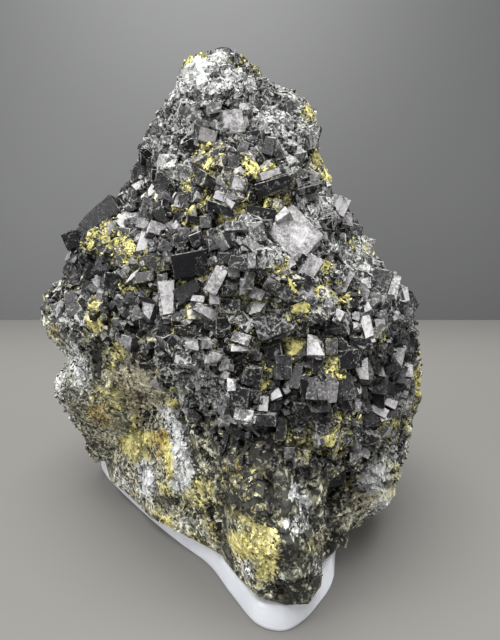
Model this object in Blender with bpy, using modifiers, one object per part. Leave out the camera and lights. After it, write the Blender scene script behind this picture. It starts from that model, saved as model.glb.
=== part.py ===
"""Uraninite crystals on their host rock, standing upright on a pad of white mounting putty.

The specimen is one lump of rock about 55 mm tall. Black cube crystals, grown into each other, crust the
upper two thirds of its front. The foot of the rock is pressed into a flat pad of putty.
+Y points away from the viewer, +X to the right and +Z up. Lengths are in metres.
"""

import bmesh
import bpy
import numpy as np
from mathutils import Matrix

MM = 0.001

# The eye that reads the outline: its place, downward tilt, and its frame's middle and focal length
EYE = np.array([2.4, -57.2, 33.0]) * MM
EYE_TILT = np.radians(6.9)
FRAME_MIDDLE = np.array([250.0, 320.0])
FRAME_FOCAL = 480.0

# The middle of the specimen's box on the floor, in the same frame: it becomes the origin
ORIGIN = np.array([-0.07, -0.67, 0.0]) * MM

# The pad of putty, and the gap between touching pieces
PUTTY_THICKNESS = 2.4 * MM
PUTTY_TOP_INSET = 0.45 * MM
PUTTY_EDGE_ROUND = 0.3 * MM
PUTTY_SIDES = 56
TOUCH_GAP = 0.3 * MM

# The rock: its nearest and farthest points, and how square its front and back halves are
FACE_MIDDLE = np.array([238.0, 330.0])
FACE_DEPTH = 35.0 * MM
BACK_POINT = np.array([-1.5, 22.0, 25.0]) * MM
FRONT_POWER_AT = [(-3.14, 1.6), (-2.5, 1.25), (-2.1, 1.12), (-1.75, 1.2), (-1.4, 1.7), (-0.9, 2.1),
                  (0.0, 2.3), (1.2, 2.0), (2.3, 1.8), (3.14, 1.6)]
BACK_POWER = 2.6
FOOT_BACK_POWER = 9.0
FOOT_FLATNESS = 4.0 * MM
FOOT_ANGLES = (-2.27, -1.17)
FOOT_BLEND = 0.3
ROCK_MIDDLE = np.array([-1.5, 1.0, 24.0]) * MM
RIM_CALM = 0.35
BACK_CALM = 0.9
POLE_CALM = 0.2
FOOT_CALM = 7.0 * MM
MIDDLE_ROUND = 0.35
ROCK_AROUND = 54
ROCK_RINGS = 24
RIM_NEAREST = 0.999
NORMAL_STEP = 0.03

# The relief of broken blocks: how high one stands, how steeply it falls off, and the sizes of two kinds
BLOCK_RISE = 0.7
BLOCK_FALL = 0.8
LUMP_SIZE = 9.0 * MM
LUMP_HEIGHT = 6.0 * MM
LUMP_SALT = 11
LEDGE_SIZE = 4.0 * MM
LEDGE_HEIGHT = 2.8 * MM
LEDGE_SALT = 47
LEVEL_GROUND = 0.37

# The crystal crust
CRUST_THICKNESS = 0.8 * MM
CRYSTAL_REACH = 9.0
CRYSTAL_SPACING = 3.2 * MM
CRYSTAL_SIZES = (2.1 * MM, 3.3 * MM)
CRYSTAL_STRETCH = (0.75, 1.2)
CRYSTAL_SIZE_DEPTH = 45.0 * MM
CRYSTAL_MOST_GROWTH = 1.05
CRYSTAL_TRIES = 2600
CRUST_WRAP = np.radians(102)
CRUST_WRAP_WAVES = [(3, 0.16, 0.8), (7, 0.09, 2.0)]
CRUST_WRAP_SPARE = 0.25
CRUST_SINK = 1.5 * MM
CRUST_GAP = 0.4 * MM
CRYSTAL_STANDS = (0.3 * MM, 0.9 * MM)
RIM_SINK = 0.8 * MM
RIM_SHRINK = 0.35
CRYSTAL_LEAN = 0.3
MAIN_STAND = 1.7 * MM
MAIN_FACING = 0.65
SEED = 92
WELD = 0.002 * MM

# Outline of the specimen, clockwise: across, down, and the distance in millimetres from the eye
TOP = [(178, 77, 53), (182, 64, 53), (195, 54, 53), (230, 48, 53), (243, 57, 53), (268, 80, 54),
       (304, 95, 55), (315, 112, 55)]
RIGHT_FLANK = [(318, 151, 55), (334, 190, 55.5), (352, 210, 56), (370, 240, 56), (385, 269, 56),
               (415, 294, 56), (416, 322, 56), (423, 366, 56), (418, 403, 56), (406, 442, 55.5),
               (399, 476, 54.5)]
RIGHT_LEDGE = [(388, 504, 53), (365, 516, 51.5), (350, 526, 50.5), (336, 552, 48), (324, 561, 46.5)]
LEFT_FLANK = [(89, 447, 69), (78, 428, 66), (56, 391, 62), (68, 358, 60), (55, 340, 58.5),
              (41, 310, 57.5), (45, 295, 57.5), (64, 276, 57.5), (67, 236, 57.5), (97, 208, 57),
              (119, 195, 56.5), (137, 158, 55.5), (146, 127, 54.5), (163, 99, 54)]

# Where the rock goes into the putty, and where the putty meets the floor, clockwise: across and down
FOOT_LINE = [(321, 566), (323, 584), (316, 592), (309, 604), (286, 605), (258, 597), (236, 575),
             (220, 554), (183, 534), (151, 518), (129, 495), (111, 482), (105, 461)]
PUTTY_LINE = [(335, 569), (332, 584), (321, 603), (305, 622), (283, 633), (255, 625), (230, 595),
              (208, 566), (180, 545), (152, 522), (123, 495), (106, 477), (102, 464)]
PUTTY_BEHIND = np.array([(-20, 19.5), (-13, 21.5), (-3, 21.5), (6, 19.5), (11, 14.5), (13, 7),
                         (13, -1)]) * MM

# Lower edge of the crystal crust, across and down, and how softly it fades
CRUST_EDGE_SOFTNESS = 14.0
CRUST_EDGE_ACROSS = [41, 110, 150, 190, 220, 270, 330, 380, 425]
CRUST_EDGE_DOWN = [282, 300, 330, 370, 408, 430, 452, 442, 405]

# The large crystals: across, down, width and height in millimetres, and turn in degrees
MAIN_CRYSTALS = [
    (295, 234, 2.9, 2.9, 47), (100, 216, 3.6, 2.2, 38), (272, 184, 2.8, 1.5, -14), (303, 190, 3.4, 1.3, 14),
    (130, 226, 2.0, 2.2, -40), (149, 242, 2.2, 2.9, -28), (145, 183, 2.2, 2.4, 35), (166, 299, 1.7, 3.2, 5),
    (208, 307, 1.9, 2.0, -35), (216, 278, 1.7, 2.3, -35), (189, 293, 3.0, 1.4, 28), (272, 325, 2.9, 2.3, 22),
    (302, 282, 1.8, 1.8, -30), (256, 310, 1.6, 1.4, 20), (311, 267, 1.8, 2.0, 30), (342, 281, 1.8, 2.0, -35),
    (363, 285, 1.4, 1.9, 10), (317, 345, 1.9, 1.9, 8), (361, 369, 1.5, 2.2, 12), (396, 360, 1.3, 2.4, -8),
    (378, 367, 1.0, 1.8, 15), (372, 329, 2.0, 1.8, -25), (337, 316, 1.6, 1.4, 15), (219, 360, 2.2, 1.8, -15),
    (229, 378, 1.2, 2.0, 15), (263, 404, 1.2, 1.4, 5), (274, 393, 1.6, 1.0, 20), (331, 392, 1.3, 2.0, 12),
    (391, 401, 1.6, 1.1, -25), (372, 414, 1.8, 1.5, -35), (357, 455, 1.3, 1.2, 25), (341, 203, 2.0, 2.0, 25),
    (344, 222, 1.9, 1.7, 10), (239, 175, 1.3, 2.3, 15), (226, 197, 2.0, 1.4, -25), (233, 121, 2.4, 2.1, 30),
    (203, 132, 2.2, 1.4, -30), (248, 152, 2.0, 1.8, 20), (206, 258, 2.6, 2.4, -20), (330, 205, 2.0, 2.2, -8),
    (243, 233, 2.4, 2.0, 35), (352, 245, 2.0, 1.8, 30), (300, 322, 2.2, 1.6, 35), (240, 295, 1.9, 1.9, 10),
    (165, 260, 2.4, 2.0, 12), (120, 280, 2.2, 1.7, -15), (388, 330, 2.2, 2.0, 20), (345, 345, 2.0, 2.0, -20),
    (234, 334, 2.3, 2.0, 10), (200, 338, 2.1, 1.8, -20), (252, 366, 2.2, 1.9, 25), (190, 232, 2.2, 2.0, 15),
]


def tidy_scene():
    """Removes what the scene holds and returns the collections of the specimen and of its cutters."""
    for leftover in list(bpy.data.objects):
        bpy.data.objects.remove(leftover, do_unlink=True)
    collections = []
    for name in ("uraninite_specimen", "cutters"):
        collection = bpy.data.collections.new(name)
        bpy.context.scene.collection.children.link(collection)
        collections.append(collection)
    return collections


def stone_material(name, colour, roughness, metallic=0.0):
    material = bpy.data.materials.new(name)
    material.use_nodes = True
    shader = material.node_tree.nodes["Principled BSDF"]
    shader.inputs["Base Color"].default_value = (*colour, 1.0)
    shader.inputs["Roughness"].default_value = roughness
    shader.inputs["Metallic"].default_value = metallic
    return material


def add_solid(name, shape, collection, material=None):
    """Turns a bmesh into a named object of the collection, with the specimen's middle at the origin."""
    bmesh.ops.translate(shape, verts=shape.verts, vec=-ORIGIN)
    mesh = bpy.data.meshes.new(name)
    shape.to_mesh(mesh)
    shape.free()
    solid = bpy.data.objects.new(name, mesh)
    collection.objects.link(solid)
    if material:
        mesh.materials.append(material)
    return solid


def sight_line(frame_points):
    """Directions from the eye through points of the frame, one unit long in depth (+Y)."""
    across = (frame_points[..., 0] - FRAME_MIDDLE[0]) / FRAME_FOCAL
    up = (FRAME_MIDDLE[1] - frame_points[..., 1]) / FRAME_FOCAL
    depth = np.cos(EYE_TILT) + up * np.sin(EYE_TILT)
    rise = up * np.cos(EYE_TILT) - np.sin(EYE_TILT)
    return np.stack([across / depth, np.ones_like(depth), rise / depth], axis=-1)


def at_depth(frame_points, depth):
    """Points of the frame placed at a distance in front of the eye."""
    return EYE + sight_line(frame_points) * depth[..., None]


def at_height(frame_points, height):
    """Points of the frame placed on the level plane at a height above the floor."""
    line = sight_line(frame_points)
    return EYE + line * ((height - EYE[2]) / line[..., 2])[..., None]


def crust_share(frame_points):
    """1 where the crystals grow and 0 where the bare rock shows."""
    edge = np.interp(frame_points[..., 0], CRUST_EDGE_ACROSS, CRUST_EDGE_DOWN)
    return np.clip((edge - frame_points[..., 1]) / CRUST_EDGE_SOFTNESS + 0.5, 0.0, 1.0)


def outline_by_angle():
    """The outline round FACE_MIDDLE: sorted angles, distances in the frame, and depths."""
    flank = np.array(TOP + RIGHT_FLANK + RIGHT_LEDGE + LEFT_FLANK, float)
    foot = np.array(FOOT_LINE, float)
    foot_depth = at_height(foot, PUTTY_THICKNESS + TOUCH_GAP)[:, 1] - EYE[1]
    points = np.concatenate([flank[:, :2], foot])
    depths = np.concatenate([flank[:, 2] * MM, foot_depth])
    offset = points - FACE_MIDDLE
    angle = np.arctan2(-offset[:, 1], offset[:, 0])
    distance = np.hypot(offset[:, 0], offset[:, 1]) - CRYSTAL_REACH * crust_share(points)
    order = np.argsort(angle)
    return angle[order], distance[order], depths[order]


OUTLINE_ANGLE, OUTLINE_DISTANCE, OUTLINE_DEPTH = outline_by_angle()


def steady_value(cell, salt):
    """A value from 0 to 1 that is always the same for the same whole-number cell."""
    mixed = (cell @ np.array([374761393, 668265263, 1274126177]) + salt * 362437) & 0xFFFFFFFF
    mixed = ((mixed ^ (mixed >> 13)) * 1274126177) & 0xFFFFFFFF
    return ((mixed ^ (mixed >> 16)) & 0xFFFFFF) / 0x1000000


def broken_stone(points, block_size, salt):
    """Height of a surface of broken blocks: each cell has one tilted block, and the highest one shows."""
    scaled = points / block_size
    home = np.floor(scaled).astype(np.int64)
    height = np.full(points.shape[:-1], -np.inf)
    for step in np.ndindex(3, 3, 3):
        cell = home + np.array(step) - 1
        random = [steady_value(cell, salt + number) for number in range(7)]
        offset = scaled - cell - np.stack(random[:3], axis=-1)
        tilt = np.stack(random[3:6], axis=-1) - 0.5
        block = BLOCK_RISE * random[6] + np.sum(offset * tilt, axis=-1)
        height = np.maximum(height, block - BLOCK_FALL * np.abs(offset).max(axis=-1))
    return height


def front_power(around):
    """How full the front is towards each side: a cone at 1, a dome at 2."""
    return np.interp(around, *np.transpose(FRONT_POWER_AT), period=2 * np.pi)


def squared_off(tilt, power):
    """How far out and how far forward a superellipse of this power is, for a direction's tilt."""
    sine, cosine = np.abs(np.sin(tilt)), np.abs(np.cos(tilt))
    scale = (sine**power + cosine**power) ** (-1 / power)
    return (sine * scale)[..., None], cosine * scale


def fullness(out, power):
    """How far forward the front is: 1 at its middle and 0 at the outline, with a rounded middle."""
    eased = (np.hypot(out, MIDDLE_ROUND) - MIDDLE_ROUND) / (np.hypot(1.0, MIDDLE_ROUND) - MIDDLE_ROUND)
    return np.maximum(1 - eased**power, 0) ** (1 / power)


def rock_surface(around, tilt, grow=0.0):
    """The rock's surface. around is the angle in the frame, and tilt runs from 0 in front to pi behind.

    In front, points go from the outline to FACE_MIDDLE on a superellipse, and the relief lifts them along
    sight lines, so the outline stays as it is read. Behind, they close on BACK_POINT over a flat foot.
    """
    distance = np.interp(around, OUTLINE_ANGLE, OUTLINE_DISTANCE, period=2 * np.pi)
    depth = np.interp(around, OUTLINE_ANGLE, OUTLINE_DEPTH, period=2 * np.pi)
    to_rim = np.stack([np.cos(around), -np.sin(around)], axis=-1) * distance[..., None]
    rim = at_depth(FACE_MIDDLE + to_rim, depth)

    power = front_power(around)
    out = squared_off(tilt, power)[0]
    forward = (depth - FACE_DEPTH) * fullness(out[..., 0], power)
    front = at_depth(FACE_MIDDLE + to_rim * out, depth - forward)

    foot = np.clip((around - FOOT_ANGLES[0]) / FOOT_BLEND + 1, 0, 1)
    foot = foot * np.clip((FOOT_ANGLES[1] - around) / FOOT_BLEND + 1, 0, 1)
    out, backward = squared_off(tilt, BACK_POWER + (FOOT_BACK_POWER - BACK_POWER) * foot)
    back = BACK_POINT + (rim - BACK_POINT) * out
    back[..., 1] = rim[..., 1] + (BACK_POINT[1] - rim[..., 1]) * backward
    back[..., 2] -= FOOT_FLATNESS * foot * out[..., 0]

    surface = np.where((tilt <= np.pi / 2)[..., None], front, back)
    outward = surface - ROCK_MIDDLE
    outward /= np.linalg.norm(outward, axis=-1, keepdims=True)
    relief = LUMP_HEIGHT * (broken_stone(surface, LUMP_SIZE, LUMP_SALT) - LEVEL_GROUND)
    relief = relief + LEDGE_HEIGHT * (broken_stone(surface, LEDGE_SIZE, LEDGE_SALT) - LEVEL_GROUND)
    past_rim = tilt - np.pi / 2
    relief = relief * np.clip(np.maximum(-past_rim / RIM_CALM, past_rim / BACK_CALM), 0, 1)
    relief = relief * np.clip(np.abs(np.sin(tilt)) / POLE_CALM, 0, 1)
    relief = relief * np.clip((surface[..., 2] - PUTTY_THICKNESS) / FOOT_CALM, 0, 1)
    to_eye = (EYE - surface) / np.linalg.norm(EYE - surface, axis=-1, keepdims=True)
    rising = np.where((past_rim < 0)[..., None], to_eye, outward)
    surface = surface + rising * relief[..., None] + outward * np.asarray(grow)[..., None]
    surface[..., 2] = np.maximum(surface[..., 2], PUTTY_THICKNESS + TOUCH_GAP - grow)
    return surface


def surface_behind(frame_points):
    """The surface's angle and tilt behind points of the frame."""
    offset = frame_points - FACE_MIDDLE
    around = np.arctan2(-offset[..., 1], offset[..., 0])
    distance = np.interp(around, OUTLINE_ANGLE, OUTLINE_DISTANCE, period=2 * np.pi)
    out = np.clip(np.hypot(offset[..., 0], offset[..., 1]) / distance, 0.0, RIM_NEAREST)
    power = front_power(around)
    return around, np.arctan2(out, (1 - out**power) ** (1 / power))


def point_and_normal(around, tilt):
    """Points of the surface and their outward directions, from steps to each side."""
    along = rock_surface(around + NORMAL_STEP, tilt) - rock_surface(around - NORMAL_STEP, tilt)
    across = rock_surface(around, tilt + NORMAL_STEP) - rock_surface(around, tilt - NORMAL_STEP)
    normal = np.cross(across, along)
    return rock_surface(around, tilt), normal / np.linalg.norm(normal, axis=-1, keepdims=True)


def rock_solid(name, collection, material=None, grow=None):
    """A sphere whose points are moved onto the rock's surface, or grown away from it."""
    shape = bmesh.new()
    bmesh.ops.create_uvsphere(shape, u_segments=ROCK_AROUND, v_segments=ROCK_RINGS, radius=1.0)
    start = np.array([point.co for point in shape.verts])
    around = np.arctan2(start[:, 1], start[:, 0])
    tilt = np.arccos(np.clip(start[:, 2], -1.0, 1.0))
    moved = rock_surface(around, tilt, grow(around, tilt) if grow else 0.0)
    for point, place in zip(shape.verts, moved):
        point.co = place
    bmesh.ops.triangulate(shape, faces=shape.faces)
    return add_solid(name, shape, collection, material)


def frame_place(points):
    """Where points of space stand in the eye's frame: across and down."""
    offset = points - EYE
    ahead = offset[..., 1] * np.cos(EYE_TILT) - offset[..., 2] * np.sin(EYE_TILT)
    up = offset[..., 1] * np.sin(EYE_TILT) + offset[..., 2] * np.cos(EYE_TILT)
    return FRAME_MIDDLE + FRAME_FOCAL * np.stack([offset[..., 0] / ahead, -up / ahead], axis=-1)


def crust_wrap(around):
    """How far round the rock the crust reaches, past the outline, with an uneven edge."""
    waves = [height * np.sin(count * around + start) for count, height, start in CRUST_WRAP_WAVES]
    return CRUST_WRAP + sum(waves)


def under_crust(around, tilt):
    """True where the crystal crust lies on the rock."""
    share = crust_share(frame_place(rock_surface(around, np.minimum(tilt, np.pi / 2))))
    return (share > 0.5) & (tilt < crust_wrap(around))


def crust_growth(around, tilt):
    """The crust's layer stands above the rock, and sinks below its surface where it ends."""
    return np.where(under_crust(around, tilt), CRUST_THICKNESS, -CRUST_SINK)


def gap_growth(around, tilt):
    return np.full(around.shape, CRUST_GAP)


def edge_directions(facing, turn):
    """For each cube, three edge directions as columns: the third is facing, and turn spins it about that."""
    facing = facing / np.linalg.norm(facing, axis=-1, keepdims=True)
    level = np.cross([0.0, 0.0, 1.0], facing)
    level /= np.linalg.norm(level, axis=-1, keepdims=True)
    first = np.cos(turn)[:, None] * level + np.sin(turn)[:, None] * np.cross(facing, level)
    return np.stack([first, np.cross(facing, first), facing], axis=-1)


def main_crystals():
    """The large crystals: centres, edge directions and edge lengths."""
    table = np.array(MAIN_CRYSTALS, float)
    point, normal = point_and_normal(*surface_behind(table[:, :2]))
    to_eye = (EYE - point) / np.linalg.norm(EYE - point, axis=1, keepdims=True)
    edges = edge_directions(normal * (1 - MAIN_FACING) + to_eye * MAIN_FACING, np.radians(table[:, 4]))
    size = np.stack([table[:, 2], table[:, 3], table[:, 2:4].min(axis=1)], axis=1) * MM
    centre = point + edges[:, :, 2] * (MAIN_STAND - size[:, 2:] / 2)
    return centre, edges, size


def small_crystals(taken):
    """Smaller crystals in the places that the taken ones leave, from a fixed seed."""
    random = np.random.default_rng(SEED)
    around = random.uniform(-np.pi, np.pi, CRYSTAL_TRIES)
    tilt = np.arccos(random.uniform(np.cos(CRUST_WRAP + CRUST_WRAP_SPARE), 1.0, CRYSTAL_TRIES))
    size = random.uniform(*CRYSTAL_SIZES, (CRYSTAL_TRIES, 1))
    size = size * random.uniform(*CRYSTAL_STRETCH, (CRYSTAL_TRIES, 3))
    past_rim = np.clip((tilt[:, None] - np.pi / 2) / RIM_CALM + 1, 0, 1)
    stand = CRUST_THICKNESS + random.uniform(*CRYSTAL_STANDS, (CRYSTAL_TRIES, 1)) - RIM_SINK * past_rim
    point, normal = point_and_normal(around, tilt)
    distance = np.minimum((point[:, 1] - EYE[1]) / CRYSTAL_SIZE_DEPTH, CRYSTAL_MOST_GROWTH)
    size = size * distance[:, None] * (1 - RIM_SHRINK * past_rim)
    lean = CRYSTAL_LEAN * random.normal(size=(CRYSTAL_TRIES, 3))
    edges = edge_directions(normal + lean, random.uniform(0, np.pi / 2, CRYSTAL_TRIES))
    centre = point + normal * stand - edges[:, :, 2] * size[:, 2:] / 2
    kept = []
    for number in np.flatnonzero(under_crust(around, tilt)):
        near = np.concatenate([taken, centre[kept]]) - centre[number]
        if np.linalg.norm(near, axis=1).min() > CRYSTAL_SPACING * distance[number]:
            kept.append(number)
    return centre[kept], edges[kept], size[kept]


def crystal_cubes(collection):
    """Every crystal as a cube, in one object whose cubes still overlap."""
    large = main_crystals()
    small = small_crystals(large[0])
    shape = bmesh.new()
    for centre, edges, size in zip(*(np.concatenate(pair) for pair in zip(large, small))):
        place = np.eye(4)
        place[:3, :3] = edges * size
        place[:3, 3] = centre
        bmesh.ops.create_cube(shape, size=1.0, matrix=Matrix(place))
    return add_solid("crystal_cubes", shape, collection)


def add_boolean(solid, operation, other):
    boolean = solid.modifiers.new(f"{operation.lower()} {other.name}", "BOOLEAN")
    boolean.operation = operation
    boolean.object = other
    boolean.solver = "EXACT"
    boolean.use_self = operation == "UNION"
    other.hide_render = True
    other.display_type = "WIRE"


def bodies_of(shape):
    """The separate bodies of a bmesh, as lists of faces, the largest first."""
    waiting = set(shape.faces)
    bodies = []
    while waiting:
        front = [waiting.pop()]
        body = []
        while front:
            face = front.pop()
            body.append(face)
            neighbours = {other for edge in face.edges for other in edge.link_faces} & waiting
            waiting -= neighbours
            front.extend(neighbours)
        bodies.append(body)
    return sorted(bodies, key=len, reverse=True)


def keep_one_body(solid):
    """Applies the Booleans, then fills the voids that they sealed in and drops loose chips."""
    bpy.context.view_layer.update()
    evaluated = solid.evaluated_get(bpy.context.evaluated_depsgraph_get())
    finished = bpy.data.meshes.new_from_object(evaluated)
    solid.modifiers.clear()
    shape = bmesh.new()
    shape.from_mesh(finished)
    bmesh.ops.remove_doubles(shape, verts=shape.verts, dist=WELD)
    bmesh.ops.dissolve_degenerate(shape, edges=shape.edges, dist=WELD)
    loose = [face for body in bodies_of(shape)[1:] for face in body]
    bmesh.ops.delete(shape, geom=loose, context="FACES")
    shape.to_mesh(solid.data)
    shape.free()


def make_crust(parts, cutters):
    """The crust: a thin layer that follows the rock, with every crystal joined to it, clear of the rock."""
    black = stone_material("uraninite", (0.02, 0.02, 0.022), 0.35, 0.35)
    crust = rock_solid("uraninite_crystals", parts, black, crust_growth)
    add_boolean(crust, "UNION", crystal_cubes(cutters))
    add_boolean(crust, "DIFFERENCE", rock_solid("rock_room", cutters, grow=gap_growth))
    keep_one_body(crust)


def smooth_closed(points, count):
    """A closed Catmull-Rom curve through the points, at count even steps of its parameter."""
    place = np.arange(count) / count * len(points)
    index = np.floor(place).astype(int)
    step = (place - index)[:, None]
    before, start, end, after = (points[(index + shift) % len(points)] for shift in (-1, 0, 1, 2))
    bend = 2 * before - 5 * start + 4 * end - after
    twist = 3 * (start - end) + after - before
    return 0.5 * (2 * start + (end - before) * step + bend * step**2 + twist * step**3)


def make_putty(parts):
    """The pad: its foot is the line on the floor, and its top stands a little inside it."""
    seen = at_height(np.array(PUTTY_LINE, float), 0.0)[:, :2]
    outline = smooth_closed(np.concatenate([seen, PUTTY_BEHIND]), PUTTY_SIDES)
    ahead = np.roll(outline, -1, axis=0) - np.roll(outline, 1, axis=0)
    inward = np.stack([ahead[:, 1], -ahead[:, 0]], axis=1)
    inward /= np.linalg.norm(inward, axis=1, keepdims=True)
    shape = bmesh.new()
    bmesh.ops.create_cone(shape, cap_ends=True, segments=PUTTY_SIDES, radius1=1.0, radius2=1.0, depth=2.0)
    for point in shape.verts:
        angle = np.arctan2(point.co.y, point.co.x) % (2 * np.pi)
        number = int(round(angle / (2 * np.pi) * PUTTY_SIDES)) % PUTTY_SIDES
        top = point.co.z > 0
        number = -number % PUTTY_SIDES
        place = outline[number] + inward[number] * (PUTTY_TOP_INSET if top else 0.0)
        point.co = (*place, PUTTY_THICKNESS if top else 0.0)
    bmesh.ops.recalc_face_normals(shape, faces=shape.faces)
    putty = add_solid("mounting_putty", shape, parts, stone_material("putty", (0.82, 0.83, 0.86), 0.5))
    bevel = putty.modifiers.new("soft edge", "BEVEL")
    bevel.width = PUTTY_EDGE_ROUND
    bevel.segments = 1
    bevel.limit_method = "ANGLE"


def make_specimen():
    parts, cutters = tidy_scene()
    rock = stone_material("host rock", (0.11, 0.105, 0.075), 0.85)
    rock_solid("matrix", parts, rock)
    make_crust(parts, cutters)
    make_putty(parts)


make_specimen()
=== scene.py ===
"""A uraninite specimen: black cube crystals on their host rock, upright on a pad of white mounting putty.

The rock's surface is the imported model's own, worked out again on a finer grid and given fine relief.
Places across and down are read by one eye, in a frame 500 wide and 640 high. Lengths are in metres,
+Z is up and the eye looks along +Y.
"""

import bpy
import numpy as np
from bpy.props import FloatProperty, FloatVectorProperty, IntProperty, PointerProperty
from mathutils.bvhtree import BVHTree
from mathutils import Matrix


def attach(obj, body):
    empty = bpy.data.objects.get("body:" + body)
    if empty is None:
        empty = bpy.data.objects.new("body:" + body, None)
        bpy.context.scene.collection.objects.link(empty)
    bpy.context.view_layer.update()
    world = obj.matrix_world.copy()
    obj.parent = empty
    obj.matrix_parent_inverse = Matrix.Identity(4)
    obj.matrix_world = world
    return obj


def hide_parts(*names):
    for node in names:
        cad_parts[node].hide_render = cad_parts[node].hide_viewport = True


bl_info = {
    "name": "Uraninite specimen",
    "version": (1, 0, 0),
    "blender": (4, 5, 0),
    "location": "View3D > Sidebar > Specimen",
    "description": "Builds a uraninite specimen: crystals, host rock and mounting putty",
    "category": "Add Mesh",
}

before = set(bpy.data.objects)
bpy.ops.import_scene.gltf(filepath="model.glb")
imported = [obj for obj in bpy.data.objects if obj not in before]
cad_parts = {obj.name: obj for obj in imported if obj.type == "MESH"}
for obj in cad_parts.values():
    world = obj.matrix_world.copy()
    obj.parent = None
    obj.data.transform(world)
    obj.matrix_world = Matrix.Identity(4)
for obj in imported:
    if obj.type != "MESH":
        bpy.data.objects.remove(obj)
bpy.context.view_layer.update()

MM = 0.001

# The eye that reads the outline: its place, downward tilt, and its frame's middle and focal length
EYE = np.array([2.4, -57.2, 33.0]) * MM
EYE_TILT = np.radians(6.9)
FRAME_SIZE = (500.0, 640.0)
FRAME_MIDDLE = np.array([250.0, 320.0])
FRAME_FOCAL = 480.0
ORIGIN = np.array([-0.07, -0.67, 0.0]) * MM

# The pad of putty
PUTTY_THICKNESS = 2.4 * MM
TOUCH_GAP = 0.3 * MM

# The rock: its nearest and farthest points, and how square its front and back halves are
FACE_MIDDLE = np.array([238.0, 330.0])
FACE_DEPTH = 35.0 * MM
BACK_POINT = np.array([-1.5, 22.0, 25.0]) * MM
FRONT_POWER_AT = [(-3.14, 1.6), (-2.5, 1.25), (-2.1, 1.12), (-1.75, 1.2), (-1.4, 1.7), (-0.9, 2.1),
                  (0.0, 2.3), (1.2, 2.0), (2.3, 1.8), (3.14, 1.6)]
BACK_POWER = 2.6
FOOT_BACK_POWER = 9.0
FOOT_FLATNESS = 4.0 * MM
FOOT_ANGLES = (-2.27, -1.17)
FOOT_BLEND = 0.3
ROCK_MIDDLE = np.array([-1.5, 1.0, 24.0]) * MM
MIDDLE_ROUND = 0.35
RIM_NEAREST = 0.999
NORMAL_STEP = 0.03
# The relief calms down within these of the rim, in front and behind, of the poles and of the foot
RIM_CALM = 0.35
BACK_CALM = 0.9
POLE_CALM = 0.2
FOOT_CALM = 7.0 * MM

# The relief of broken blocks: how high one stands, how steeply it falls off, and the two large kinds
BLOCK_RISE = 0.7
BLOCK_FALL = 0.8
LEVEL_GROUND = 0.37
LUMPS = (9.0 * MM, 6.0 * MM, 11)
LEDGES = (4.0 * MM, 2.8 * MM, 47)

# Grids of the rock and of the crust's skin: columns, and rows in front, round the edge and behind
ROCK_COLUMNS = 400
ROCK_ROWS = (160, 20, 55)
SKIN_COLUMNS = 400
SKIN_ROWS = (165, 40, 8)
EDGE_TILT = 0.3

# How far the crystals stand out past the rock in the frame, how far behind the outline the crust wraps
# round and how softly it ends there, and how far its skin sinks into the rock past its end
CRYSTAL_REACH = 9.0
CRUST_WRAP = np.radians(102)
CRUST_WRAP_WAVES = [(3, 0.16, 0.8), (7, 0.09, 2.0)]
CRUST_WRAP_SOFTNESS = 0.08
CRUST_SINK = 1.5 * MM

# Outline of the specimen, clockwise: across, down, and the distance in millimetres from the eye
TOP = [(178, 77, 53), (182, 64, 53), (195, 54, 53), (230, 48, 53), (243, 57, 53), (268, 80, 54),
       (304, 95, 55), (315, 112, 55)]
RIGHT_FLANK = [(318, 151, 55), (334, 190, 55.5), (352, 210, 56), (370, 240, 56), (385, 269, 56),
               (415, 294, 56), (416, 322, 56), (423, 366, 56), (418, 403, 56), (406, 442, 55.5),
               (399, 476, 54.5)]
RIGHT_LEDGE = [(388, 504, 53), (365, 516, 51.5), (350, 526, 50.5), (336, 552, 48), (324, 561, 46.5)]
LEFT_FLANK = [(89, 447, 69), (78, 428, 66), (56, 391, 62), (68, 358, 60), (55, 340, 58.5),
              (41, 310, 57.5), (45, 295, 57.5), (64, 276, 57.5), (67, 236, 57.5), (97, 208, 57),
              (119, 195, 56.5), (137, 158, 55.5), (146, 127, 54.5), (163, 99, 54)]

# Where the rock goes into the putty, and where the putty meets the floor, clockwise: across and down
FOOT_LINE = [(321, 566), (323, 584), (316, 592), (309, 604), (286, 605), (258, 597), (236, 575),
             (220, 554), (183, 534), (151, 518), (129, 495), (111, 482), (105, 461)]
PUTTY_LINE = [(335, 569), (332, 584), (321, 603), (305, 622), (283, 633), (255, 625), (230, 595),
              (208, 566), (180, 545), (152, 522), (123, 495), (106, 477), (102, 464)]
PUTTY_BEHIND = np.array([(-20, 19.5), (-13, 21.5), (-3, 21.5), (6, 19.5), (11, 14.5), (13, 7),
                         (13, -1)]) * MM

# Lower edge of the crystal crust, across and down, and how softly it fades
CRUST_EDGE_SOFTNESS = 14.0
CRUST_EDGE_ACROSS = [41, 110, 150, 165, 190, 220, 270, 330, 380, 425]
CRUST_EDGE_DOWN = [282, 300, 322, 348, 384, 410, 430, 452, 442, 405]

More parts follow.
